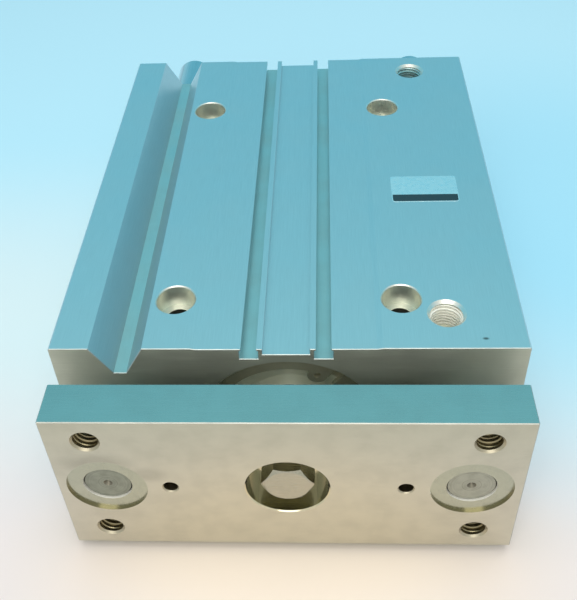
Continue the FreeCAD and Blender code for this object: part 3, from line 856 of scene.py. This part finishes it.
# Near white, hardly metallic copies of the cover's aluminium on its dish: painted light, for light falling
# into the gap behind the plate
DISH_SLOPE_LIGHT = MetalFinish(
    "dish_slope_light", (0.98, 0.93, 0.66), 0.4, Grain.TURNED, grain_width=0.15 * MM, metallic=0.2,
    axis=(AXIS.x, AXIS.z))
DISH_FLOOR_LIGHT = MetalFinish(
    "dish_floor_light", (1.0, 0.96, 0.74), 0.35, Grain.TURNED, grain_width=0.15 * MM, metallic=0.1,
    axis=(AXIS.x, AXIS.z))
LABEL_FILM = FilmFinish("label_film", (0.82, 0.87, 0.87), 0.32, 0.94)
LABEL_BAND = FilmFinish("label_band", (0.095, 0.10, 0.105), 0.35, 1.0)

BAR_FINISHES: dict[BarZone, Finish] = {
    BarZone.SKIN: SLOT_FINISHES[BODY_SLOT],
    BarZone.END: CUT_END_AND_SHADE,
    BarZone.END_EDGE: END_EDGE,
    BarZone.BORED: BORED_HOLE,
    BarZone.DRILLED: DRILLED_HOLE_SHADE,
    BarZone.BEVEL: HOLE_BEVEL,
    BarZone.SLOT: SLOT_PAINTED_SHADE,
}
PLATE_FINISHES: dict[PlateZone, Finish] = {
    PlateZone.FACE: SLOT_FINISHES[PLATE_SLOT],
    PlateZone.SIDE: PLATE_SIDE_SKY_REFLECTION,
    PlateZone.EDGE: PLATE_EDGE_SHADE,
    PlateZone.GUIDE_SEAT: GUIDE_SEAT,
    PlateZone.SEAT_WALL: SEAT_WALL,
    PlateZone.SPIGOT_WALL: SPIGOT_WALL,
    PlateZone.BOLT_SEAT: BOLT_SEAT,
    PlateZone.BOLT_WALL: BOLT_WALL,
    PlateZone.HOLE: PLATE_HOLE_SHADE,
    PlateZone.BEVEL: PLATE_BEVEL_SHADE,
}
COVER_FINISHES: dict[CoverZone, Finish] = {
    CoverZone.TURNED: SLOT_FINISHES["cover_aluminium"],
    CoverZone.SLOPE: DISH_SLOPE_LIGHT,
    CoverZone.FLOOR: DISH_FLOOR_LIGHT,
}
# One turned finish on both rods, painted lighter on the right rod and darker on the left: painted light
# and shade
ROD_END_PAINTED_LIGHT_TONES: dict[Side, Colour] = {
    Side.LEFT: (0.295, 0.315, 0.265),
    Side.RIGHT: (0.40, 0.41, 0.35),
}


def rod_end(side: Side) -> MetalFinish:
    """The turned end of a guide rod, in its side's tone of painted light and shade.

    Args:
        side: The side the rod is on.

    Returns:
        The finish, with rings about the rod's axis.
    """
    rod = GUIDES[side]
    return MetalFinish(
        f"{side.value}_rod_end", ROD_END_PAINTED_LIGHT_TONES[side], 0.42, Grain.TURNED, grain_width=0.3 * MM,
        grain_contrast=0.2, patch_width=3 * MM, patch_contrast=0.15, axis=(rod.x, rod.z))


# Tools for pieces

class FinishShelf:
    """Keeps one material for each finish, made when it is first asked for."""

    def __init__(self) -> None:
        """Starts with no materials."""
        self.made: dict[str, bpy.types.Material] = {}

    def get(self, finish: Finish) -> bpy.types.Material:
        """The material of a finish.

        Args:
            finish: The finish.

        Returns:
            Its material, the same one each time.
        """
        if finish.name not in self.made:
            self.made[finish.name] = finish.material()
        return self.made[finish.name]


SHELF = FinishShelf()


def dress(node: str, finishes: Sequence[Finish]) -> bpy.types.Object:
    """Gives a CAD node its material slots, of which all faces start in the first.

    Args:
        node: The node's name.
        finishes: The finishes of its material slots.

    Returns:
        The node's object.
    """
    piece = frame["nodes"][node]
    piece.data.materials.clear()
    for finish in finishes:
        piece.data.materials.append(SHELF.get(finish))
    log.info("%s: %s", node, ", ".join(finish.name for finish in finishes))
    return piece


def slot_of(node: str) -> str:
    """The record's material slot of a CAD node."""
    return next(part["material_slot"] for part in frame["record"]["subparts"] if part["node"] == node)


def dress_as_recorded(nodes: Iterable[str]) -> None:
    """Gives each node the finish of its material slot in the record."""
    for node in nodes:
        dress(node, [SLOT_FINISHES[slot_of(node)]])


def new_piece(name: str, mesh: bmesh.types.BMesh, finish: Finish, body: Body) -> None:
    """Makes an object that rides on a body.

    Args:
        name: The piece's name.
        mesh: Its shape, which is freed.
        finish: Its finish.
        body: The body it moves with.
    """
    data = bpy.data.meshes.new(name)
    bmesh.ops.recalc_face_normals(mesh, faces=mesh.faces)
    mesh.to_mesh(data)
    mesh.free()
    data.materials.append(SHELF.get(finish))
    piece = bpy.data.objects.new(name, data)
    bpy.context.scene.collection.objects.link(piece)
    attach(piece, body.value)
    log.info("%s: rides on %s", name, body.value)


def mount(name: str) -> dict:
    """A mount of the record."""
    return next(entry for entry in frame["record"]["mounts"] if entry["name"] == name)


def mount_centres(name: str) -> list[Vector]:
    """Where a mount's holes start.

    Args:
        name: The mount's name.

    Returns:
        One point per hole, in metres.
    """
    entry = mount(name)
    centre = Vector(entry["pos_m"])
    half_x = entry["dims"].get("spacing_x_mm", 0.0) / 2 * MM
    half_y = entry["dims"].get("spacing_y_mm", 0.0) / 2 * MM
    is_upright = abs(entry["axis"][Axis.UPRIGHT]) > SLOPING
    second = Vector((0, 1, 0)) if is_upright else Vector((0, 0, 1))
    offsets_x = (-half_x, half_x) if half_x else (0.0,)
    offsets_y = (-half_y, half_y) if half_y else (0.0,)
    return [centre + Vector((x, 0, 0)) + second * y for x in offsets_x for y in offsets_y]


@dataclass(frozen=True)
class Hole:
    """A round hole whose faces have a finish of their own.

    Args:
        zone: The zone of its faces.
        axis: The direction that it runs in.
        centre: A point on its axis.
        reach: Distance from its axis within which a face belongs to it.
    """

    zone: IntEnum
    axis: Axis
    centre: Vector
    reach: float

    def away(self, point: Vector) -> float:
        """How far a point is from the hole's axis.

        Args:
            point: The point.

        Returns:
            The distance, in metres.
        """
        offset = point - self.centre
        offset[self.axis] = 0.0
        return offset.length


@dataclass(frozen=True)
class Thread:
    """The ridge of a tapped hole, as one closed strip that winds round the hole's wall.

    Args:
        radius: Radius of the drilled wall.
        pitch: Distance between turns.
        height: How far the ridge stands out from the wall.
        length: Threaded length.
    """

    radius: float
    pitch: float
    height: float
    length: float

    # Steps in a turn, depth of the foot in the wall, and the ridge's height at its very start as a share
    STEPS = 40
    SINK = 0.03 * MM
    LOW_START = 0.1
    # Where the crest starts and ends and the foot ends, as shares of the pitch
    CREST_START = 0.22
    CREST_END = 0.70
    FOOT_END = 0.90

    def cut(self, mesh: bmesh.types.BMesh, mouth: Vector, inward: Vector) -> None:
        """Adds the ridge of one hole to a mesh.

        Args:
            mesh: The mesh to add to.
            mouth: Where the threaded wall starts, on the hole's axis.
            inward: The direction into the hole.
        """
        side = inward.orthogonal().normalized()
        other = inward.cross(side)
        foot = self.radius + self.SINK
        crest = self.radius - self.height
        profile = ((0.0, 0.0), (1.0, self.CREST_START), (1.0, self.CREST_END), (0.0, self.FOOT_END))
        last = int((self.length - self.pitch) / self.pitch * self.STEPS)
        rings = []
        for step in range(last + 1):
            angle = 2 * math.pi * step / self.STEPS
            outward = side * math.cos(angle) + other * math.sin(angle)
            start = self.pitch * step / self.STEPS
            rise = min(1.0, max(self.LOW_START, step / self.STEPS)) * (foot - crest)
            ring = []
            for share, along in profile:
                depth = start + self.pitch * along
                ring.append(mesh.verts.new(mouth + outward * (foot - rise * share) + inward * depth))
            rings.append(ring)
        for near, far in zip(rings, rings[1:]):
            for first in range(len(profile)):
                second = (first + 1) % len(profile)
                mesh.faces.new((near[first], near[second], far[second], far[first]))
        mesh.faces.new(rings[0])
        mesh.faces.new(list(reversed(rings[-1])))


def threads(name: str, tapped: str, thread: Thread, finish: Finish, body: Body) -> None:
    """Makes the thread ridges of one of the record's mounts as one piece.

    Args:
        name: The piece's name.
        tapped: The mount whose holes are tapped.
        thread: The thread's sizes.
        finish: Its finish.
        body: The body it moves with.
    """
    mesh = bmesh.new()
    inward = -Vector(mount(tapped)["axis"])
    for centre in mount_centres(tapped):
        thread.cut(mesh, centre, inward)
    new_piece(name, mesh, finish, body)


# Sub-assemblies

@dataclass
class DrawnBody:
    """The drawn body bar with its bores, ports, plugs and label.

    Args:
        head_recess: Radius of the screw-head recesses with their broken edge.
        screw_hole: Radius of the screw holes, with room to spare.
        port_reach: Radius of the ports with their broken edge.
        port_bevel: Depth of that edge, below which the thread starts.
        tap_reach: Radius of the rear tapped holes with their broken edge.
        skin: How far below a face a point counts as inside a hole.
        end_break: Width of the broken edge round both ends.
        bore_reach: Radius of the piston bore with its ring grooves.
        slot_drop: Depth below the top at which slot floors start.
        groove_drop: Depth below the top that no groove reaches.
        label_left: Left edge of the label.
        label_right: Right edge of the label.
        label_front: Front edge of the label.
        label_rear: Rear edge of the label.
        label_band: Width of the dark band along the label's front edge.
        label_margin: Width of bare film round the band.
        label_thick: Thickness of the film.
        band_thick: Thickness of the band on it.
        label_corner: Radius of the label's corners.
        tap: Thread of the rear tapped holes.
        foot_tap: Thread at the lower end of the screw holes.
        port: Thread of the top ports.
    """

    head_recess: float = 7.6 * MM
    screw_hole: float = 4.5 * MM
    port_reach: float = 7.0 * MM
    port_bevel: float = 1.1 * MM
    tap_reach: float = 5.6 * MM
    skin: float = 0.02 * MM
    end_break: float = 0.2 * MM
    bore_reach: float = 33.5 * MM
    slot_drop: float = 4.0 * MM
    groove_drop: float = 13.0 * MM
    label_left: float = 40.3 * MM
    label_right: float = 67.0 * MM
    label_front: float = -8.2 * MM
    label_rear: float = 9.0 * MM
    label_band: float = 4.4 * MM
    label_margin: float = 0.35 * MM
    label_thick: float = 0.04 * MM
    band_thick: float = 0.01 * MM
    label_corner: float = 1.0 * MM
    tap: Thread = Thread(4.25 * MM, 1.5 * MM, 0.55 * MM, 17 * MM)
    foot_tap: Thread = Thread(4.3 * MM, 1.5 * MM, 0.45 * MM, 22 * MM)
    port: Thread = Thread(5.72 * MM, 1.337 * MM, 0.5 * MM, 10.4 * MM)

    CORNER_STEPS = 6
    # Directions from the label's middle to its front right, rear right, rear left and front left corner
    CORNERS = ((1, -1), (1, 1), (-1, 1), (-1, -1))

    def build(self) -> None:
        """Dresses the body and its plugs, and adds the threads and the label."""
        self.dress_bar()
        dress_as_recorded(("front_port_plug", "rear_port_plug"))
        threads("rear_threads", "rear_bolts", self.tap, THREAD_BARE_AND_REFLECTION, Body.HOUSING)
        threads("foot_threads", "body_bolts", self.foot_tap, THREAD_BARE_AND_REFLECTION, Body.HOUSING)
        self.port_threads()
        self.label()

    def holes(self) -> list[Hole]:
        """The bored and drilled holes of the body.

        Returns:
            The holes, where a later one wins over an earlier one.
        """
        screws = mount_centres("body_bolts")
        ports = mount_centres("front_port") + mount_centres("rear_port")
        taps = mount_centres("rear_bolts")
        holes = [Hole(BarZone.BORED, Axis.UPRIGHT, centre, self.head_recess) for centre in screws]
        holes += [Hole(BarZone.DRILLED, Axis.UPRIGHT, centre, self.screw_hole) for centre in screws]
        holes += [Hole(BarZone.BORED, Axis.UPRIGHT, centre, self.port_reach) for centre in ports]
        holes += [Hole(BarZone.DRILLED, Axis.LENGTHWISE, centre, self.tap_reach) for centre in taps]
        holes.append(Hole(BarZone.BORED, Axis.LENGTHWISE, AXIS, self.bore_reach))
        return holes

    def zone_of(self, face: Face, box: Box, holes: Sequence[Hole]) -> BarZone:
        """The zone that a face of the body belongs to.

        Args:
            face: The face.
            box: The body's lowest and highest corner.
            holes: The body's holes.

        Returns:
            Its zone.
        """
        middle = face.center
        low, high = box
        from_end = min(middle.y - low.y, high.y - middle.y)
        if from_end < self.end_break:
            return BarZone.END if from_end < self.skin else BarZone.END_EDGE
        zone = BarZone.SKIN
        if face.normal.z > SQUARE and self.slot_drop < high.z - middle.z < self.groove_drop:
            zone = BarZone.SLOT
        for hole in holes:
            inside = low[hole.axis] + self.skin < middle[hole.axis] < high[hole.axis] - self.skin
            if inside and hole.away(middle) < hole.reach:
                bevelled = hole.axis is Axis.UPRIGHT and SLOPING < face.normal.z < SQUARE
                zone = BarZone.BEVEL if bevelled else hole.zone
        return zone

    def dress_bar(self) -> None:
        """Gives the body its drawn skin, its cut ends darkened partly as painted shade, bored recesses,
        and slot floors and drilled holes painted darker as shade.
        """
        bar = dress("body", [BAR_FINISHES[zone] for zone in BarZone])
        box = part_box("body")
        holes = self.holes()
        for face in bar.data.polygons:
            face.material_index = self.zone_of(face, box, holes)

    def port_threads(self) -> None:
        """Makes the thread ridges of the two top ports: the front one near white with painted reflection,
        the rear one darker and teal with painted shade and sky reflection.
        """
        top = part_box("body")[1].z
        for name, finish in (("front_port", THREAD_BARE_AND_REFLECTION), ("rear_port", THREAD_PAINTED_SHADE_AND_SKY)):
            centre = mount_centres(name)[0]
            mesh = bmesh.new()
            self.port.cut(mesh, Vector((centre.x, centre.y, top - self.port_bevel)), Vector((0, 0, -1)))
            new_piece(f"{name}_thread", mesh, finish, Body.HOUSING)

    def sheet(
            self, front: float, rear: float, inset: float, low: float, high: float,
            corners: Sequence[float]) -> bmesh.types.BMesh:
        """A thin sheet with rounded corners, between the label's sides.

        Args:
            front: Front edge.
            rear: Rear edge.
            inset: Distance from the label's sides.
            low: Height of the underside.
            high: Height of the upper side.
            corners: Radius at the front right, rear right, rear left and front left corner.

        Returns:
            The closed sheet.
        """
        left, right = self.label_left + inset, self.label_right - inset
        outline = []
        for number, ((to_x, to_y), radius) in enumerate(zip(self.CORNERS, corners)):
            centre_x = (left + right) / 2 + to_x * ((right - left) / 2 - radius)
            centre_y = (front + rear) / 2 + to_y * ((rear - front) / 2 - radius)
            steps = self.CORNER_STEPS if radius > 0 else 0
            for step in range(steps + 1):
                angle = math.pi / 2 * (number - 1 + step / self.CORNER_STEPS)
                outline.append((centre_x + radius * math.cos(angle), centre_y + radius * math.sin(angle)))
        mesh = bmesh.new()
        bottom = [mesh.verts.new((x, y, low)) for x, y in outline]
        top = [mesh.verts.new((x, y, high)) for x, y in outline]
        mesh.faces.new(top)
        mesh.faces.new(list(reversed(bottom)))
        for first in range(len(outline)):
            second = (first + 1) % len(outline)
            mesh.faces.new((bottom[first], bottom[second], top[second], top[first]))
        return mesh

    def label(self) -> None:
        """Makes the bare label: a silver film and its dark band, with nothing on them."""
        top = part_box("body")[1].z
        film_top = top + self.label_thick
        band_top = film_top + self.band_thick
        band_front = self.label_front + self.label_margin
        band_rear = band_front + self.label_band
        corner = self.label_corner
        film = self.sheet(
            self.label_front, self.label_rear, 0.0, top, film_top, (corner,) * len(self.CORNERS))
        new_piece("label_film", film, LABEL_FILM, Body.HOUSING)
        band = self.sheet(
            band_front, band_rear, self.label_margin, film_top, band_top, (corner, 0.0, 0.0, corner))
        new_piece("label_band", band, LABEL_BAND, Body.HOUSING)


@dataclass
class PlateSet:
    """The front plate with its bolt and tapped holes.

    Args:
        seat_reach: Radius of the guide seats in the plate.
        spigot_reach: Radius of the holes for the guide rods' spigots, with room to spare.
        bolt_reach: Radius of the bolt seat in the plate.
        hole_reach: Radius of the tapped holes with their broken edge.
        edge_break: Width of the broken edge round the plate.
        skin: How far behind the front face a point counts as inside a seat.
        tap: Thread of the tapped holes.
    """

    seat_reach: float = 14.3 * MM
    spigot_reach: float = 9.0 * MM
    bolt_reach: float = 14.8 * MM
    hole_reach: float = 5.6 * MM
    edge_break: float = 0.3 * MM
    skin: float = 0.02 * MM
    tap: Thread = Thread(4.25 * MM, 1.5 * MM, 0.45 * MM, 13.6 * MM)

    def build(self) -> None:
        """Dresses the plate and its bolt, and adds the threads."""
        plate = dress("front_plate", [PLATE_FINISHES[zone] for zone in PlateZone])
        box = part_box("front_plate")
        holes = self.holes()
        for face in plate.data.polygons:
            face.material_index = self.zone_of(face, box, holes)
        dress_as_recorded(("plate_bolt",))
        threads("plate_threads", "plate_bolts", self.tap, THREAD_NICKEL_SHADE, Body.CARRIAGE)

    def holes(self) -> list[Hole]:
        """The seats and the tapped and pin holes of the plate.

        Returns:
            The holes.
        """
        small = mount_centres("plate_bolts") + mount_centres("plate_pins")
        holes = [
            Hole(PlateZone.GUIDE_SEAT, Axis.LENGTHWISE, rod, self.seat_reach) for rod in GUIDES.values()]
        holes.append(Hole(PlateZone.BOLT_SEAT, Axis.LENGTHWISE, AXIS, self.bolt_reach))
        holes += [Hole(PlateZone.HOLE, Axis.LENGTHWISE, centre, self.hole_reach) for centre in small]
        return holes

    def zone_of(self, face: Face, box: Box, holes: Sequence[Hole]) -> PlateZone:
        """The zone that a face of the plate belongs to.

        Args:
            face: The face.
            box: The plate's lowest and highest corner.
            holes: The plate's holes.

        Returns:
            Its zone.
        """
        middle = face.center
        low, high = box
        if not low.y + self.skin < middle.y < high.y - self.skin:
            return PlateZone.FACE
        to_long_side = min(high.z - middle.z, middle.z - low.z)
        to_short_side = min(high.x - middle.x, middle.x - low.x)
        if to_long_side < self.skin:
            return PlateZone.SIDE
        if self.skin < min(to_long_side, to_short_side) < self.edge_break:
            return PlateZone.EDGE
        zone = next((hole.zone for hole in holes if hole.away(middle) < hole.reach), PlateZone.FACE)
        is_wall = abs(face.normal.y) < SLOPING
        if zone is PlateZone.GUIDE_SEAT and is_wall:
            in_spigot = min(hole.away(middle) for hole in holes) < self.spigot_reach
            return PlateZone.SPIGOT_WALL if in_spigot else PlateZone.SEAT_WALL
        if zone is PlateZone.BOLT_SEAT and is_wall:
            return PlateZone.BOLT_WALL
        if zone is PlateZone.HOLE and not is_wall:
            return PlateZone.BEVEL
        return zone


@dataclass
class GuideSet:
    """The two guide rods and the bushes, wipers and rings that carry them.

    Args:
        end_depth: Depth within which a face belongs to a rod's turned end.
        centre_reach: Radius of the centre hole in a rod's end, with room to spare.
    """

    end_depth: float = 1.7 * MM
    centre_reach: float = 1.6 * MM

    PIECES = (
        "guide_ring", "wiper_holder", "wiper", "front_bush_sleeve", "front_bush_cage", "bush_spacer",
        "rear_bush_sleeve", "rear_bush_cage")

    def build(self) -> None:
        """Dresses the rods, with turned ends in their side's painted light and shade, painted shade on the
        end chamfers and centre holes, and all that stands round them.
        """
        for side, axis in GUIDES.items():
            name = f"{side.value}_guide_rod"
            low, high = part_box(name)
            finishes = {
                RodZone.CHROME: SLOT_FINISHES["rod_chrome"], RodZone.END: rod_end(side),
                RodZone.EDGE: ROD_EDGE_SHADE, RodZone.CENTRE: DRILLED_HOLE_SHADE}
            rod = dress(name, [finishes[zone] for zone in RodZone])
            for face in rod.data.polygons:
                if min(face.center.y - low.y, high.y - face.center.y) > self.end_depth:
                    continue
                if (face.center - axis).xz.length < self.centre_reach:
                    face.material_index = RodZone.CENTRE
                else:
                    face.material_index = RodZone.END if abs(face.normal.y) > SQUARE else RodZone.EDGE
            dress_as_recorded(f"{side.value}_{piece}" for piece in self.PIECES)


@dataclass
class CylinderSet:
    """What closes the bore and what runs in it.

    Args:
        covers: Pieces of the two ends, apart from the front cover.
        running: Pieces that slide in the bore.
        dish_reach: Radius of the dish in the front cover.
    """

    covers: tuple[str, ...] = (
        "rod_cover_o_ring", "rod_cover_ring", "rod_bush", "rod_seal", "front_bumper",
        "head_cover", "head_cover_o_ring", "head_cover_ring", "rear_bumper")
    running: tuple[str, ...] = (
        "piston_rod", "piston", "piston_gasket", "wear_ring", "magnet_ring", "piston_seal")
    dish_reach: float = 25.9 * MM

    def build(self) -> None:
        """Dresses the covers with their seals and rings, and the piston with its rod."""
        self.dress_front_cover()
        dress_as_recorded(self.covers)
        dress_as_recorded(self.running)

    def dress_front_cover(self) -> None:
        """Gives the front cover its turned skin, and its dish a near-white slope and floor that paint
        light on it.
        """
        cover = dress("rod_cover", [COVER_FINISHES[zone] for zone in CoverZone])
        for face in cover.data.polygons:
            if (face.center - AXIS).xz.length < self.dish_reach and face.normal.y < -FACING:
                face.material_index = CoverZone.FLOOR if face.normal.y < -SQUARE else CoverZone.SLOPE


# Studio and camera

@dataclass
class Lamp:
    """A square soft lamp that points at the part.

    Args:
        name: The lamp's name.
        place: Where it stands.
        size: Length of its side.
        power: Its power in watts.
        colour: Its colour.
        mirrored: Whether metal shows it.
    """

    name: str
    place: tuple[float, float, float]
    size: float
    power: float
    colour: Colour
    mirrored: bool = True

    AIM = Vector((0.0, -0.02, 0.04))

    def build(self) -> None:
        """Makes the lamp."""
        data = bpy.data.lights.new(self.name, "AREA")
        data.size = self.size
        data.energy = self.power
        data.color = self.colour
        lamp = bpy.data.objects.new(self.name, data)
        lamp.location = self.place
        lamp.rotation_euler = (self.AIM - Vector(self.place)).to_track_quat("-Z", "Y").to_euler()
        lamp.visible_camera = False
        lamp.visible_glossy = self.mirrored
        bpy.context.scene.collection.objects.link(lamp)


@dataclass
class Studio:
    """Floor, surroundings and lamps.

    Args:
        floor_half: Half the side of the floor.
        floor_drop: How far the floor lies below the part.
        fill: Light from all round, on matt surfaces.
        fill_strength: Its strength.
        backdrop: The surroundings as the camera and the metal see them.
        lamps: The soft lamps.
    """

    floor_half: float = 2.5
    floor_drop: float = 0.1 * MM
    fill: Colour = (0.92, 0.97, 1.0)
    fill_strength: float = 0.52
    backdrop: Backdrop = Backdrop()
    lamps: tuple[Lamp, ...] = (
        Lamp("front_softbox", (-0.05, -0.86, 0.92), 0.9, 5.6, (1.0, 0.95, 0.88)),
        Lamp("overhead_softbox", (0.02, 0.02, 1.30), 0.9, 6.5, (0.97, 0.98, 1.0), mirrored=False))

    def build(self) -> None:
        """Makes the floor, the surroundings and the lamps."""
        self.floor()
        self.surroundings()
        for lamp in self.lamps:
            lamp.build()
        bpy.context.scene.view_settings.view_transform = "Standard"

    def floor(self) -> None:
        """Makes the floor."""
        mesh = bmesh.new()
        bmesh.ops.create_grid(mesh, x_segments=1, y_segments=1, size=self.floor_half)
        data = bpy.data.meshes.new("floor")
        mesh.to_mesh(data)
        mesh.free()
        data.materials.append(SHELF.get(FloorFinish(backdrop=self.backdrop)))
        floor = bpy.data.objects.new("floor", data)
        floor.location.z = -self.floor_drop
        bpy.context.scene.collection.objects.link(floor)
        log.info("floor: stage")

    def surroundings(self) -> None:
        """Makes the world: even light on matt surfaces, pale blue to warm white where it is seen."""
        world = bpy.data.worlds.new("studio")
        world.use_nodes = True
        bpy.context.scene.world = world
        nodes = Nodes(world.node_tree)
        _, y, z = nodes.axes(nodes.add("ShaderNodeTexCoord", {}).outputs["Generated"])
        colour = self.backdrop.seen(nodes, y, z)
        rays = nodes.add("ShaderNodeLightPath", {}).outputs
        mirrored = nodes.maths("MAXIMUM", rays["Is Glossy Ray"], rays["Is Transmission Ray"])
        shown = nodes.maths("MAXIMUM", rays["Is Camera Ray"], mirrored)
        light = nodes.add("ShaderNodeBackground", {"Color": self.fill, "Strength": self.fill_strength})
        seen = nodes.add("ShaderNodeBackground", {"Color": colour})
        either = nodes.add("ShaderNodeMixShader", {0: shown, 1: light.outputs[0], 2: seen.outputs[0]})
        nodes.plug(world.node_tree.nodes["World Output"].inputs["Surface"], either.outputs[0])


@dataclass
class PhotoCamera:
    """The camera at the photograph's viewing angle.

    Args:
        place: Where it stands.
        yaw: Turn to the right, in degrees.
        pitch: Tilt down, in degrees.
        roll: Turn about the line of sight, in degrees.
        lens: Focal length in millimetres.
        shift: Shift of the frame to the right and up.
        nearest: Distance at which the view starts, in metres.
    """

    place: tuple[float, float, float] = (0.01396, -0.28318, 0.28745)
    yaw: float = -4.4974
    pitch: float = 41.6738
    roll: float = -3.4405
    lens: float = 51.364
    shift: tuple[float, float] = (0.01955, -0.0499)
    nearest: float = 0.01

    def build(self) -> None:
        """Makes the camera and gives it to the scene."""
        yaw, pitch, roll = (math.radians(angle) for angle in (self.yaw, self.pitch, self.roll))
        forward = Vector((
            math.sin(yaw) * math.cos(pitch), math.cos(yaw) * math.cos(pitch), -math.sin(pitch)))
        level = Vector((math.cos(yaw), -math.sin(yaw), 0.0))
        upright = level.cross(forward)
        right = level * math.cos(roll) + upright * math.sin(roll)
        up = upright * math.cos(roll) - level * math.sin(roll)
        data = bpy.data.cameras.new("photo_camera")
        data.lens = self.lens
        data.shift_x, data.shift_y = self.shift
        data.clip_start = self.nearest
        camera = bpy.data.objects.new("photo_camera", data)
        turn = Matrix((right, up, -forward)).transposed()
        camera.matrix_world = Matrix.Translation(self.place) @ turn.to_4x4()
        bpy.context.scene.collection.objects.link(camera)
        bpy.context.scene.camera = camera


def main() -> None:
    """Builds the sub-assemblies, the studio and the camera in order."""
    logging.basicConfig(level=logging.INFO, format="%(name)s: %(message)s")
    for section in (DrawnBody(), PlateSet(), GuideSet(), CylinderSet(), Studio(), PhotoCamera()):
        log.info("section %s", type(section).__name__)
        section.build()


if __name__ == "__main__":
    main()
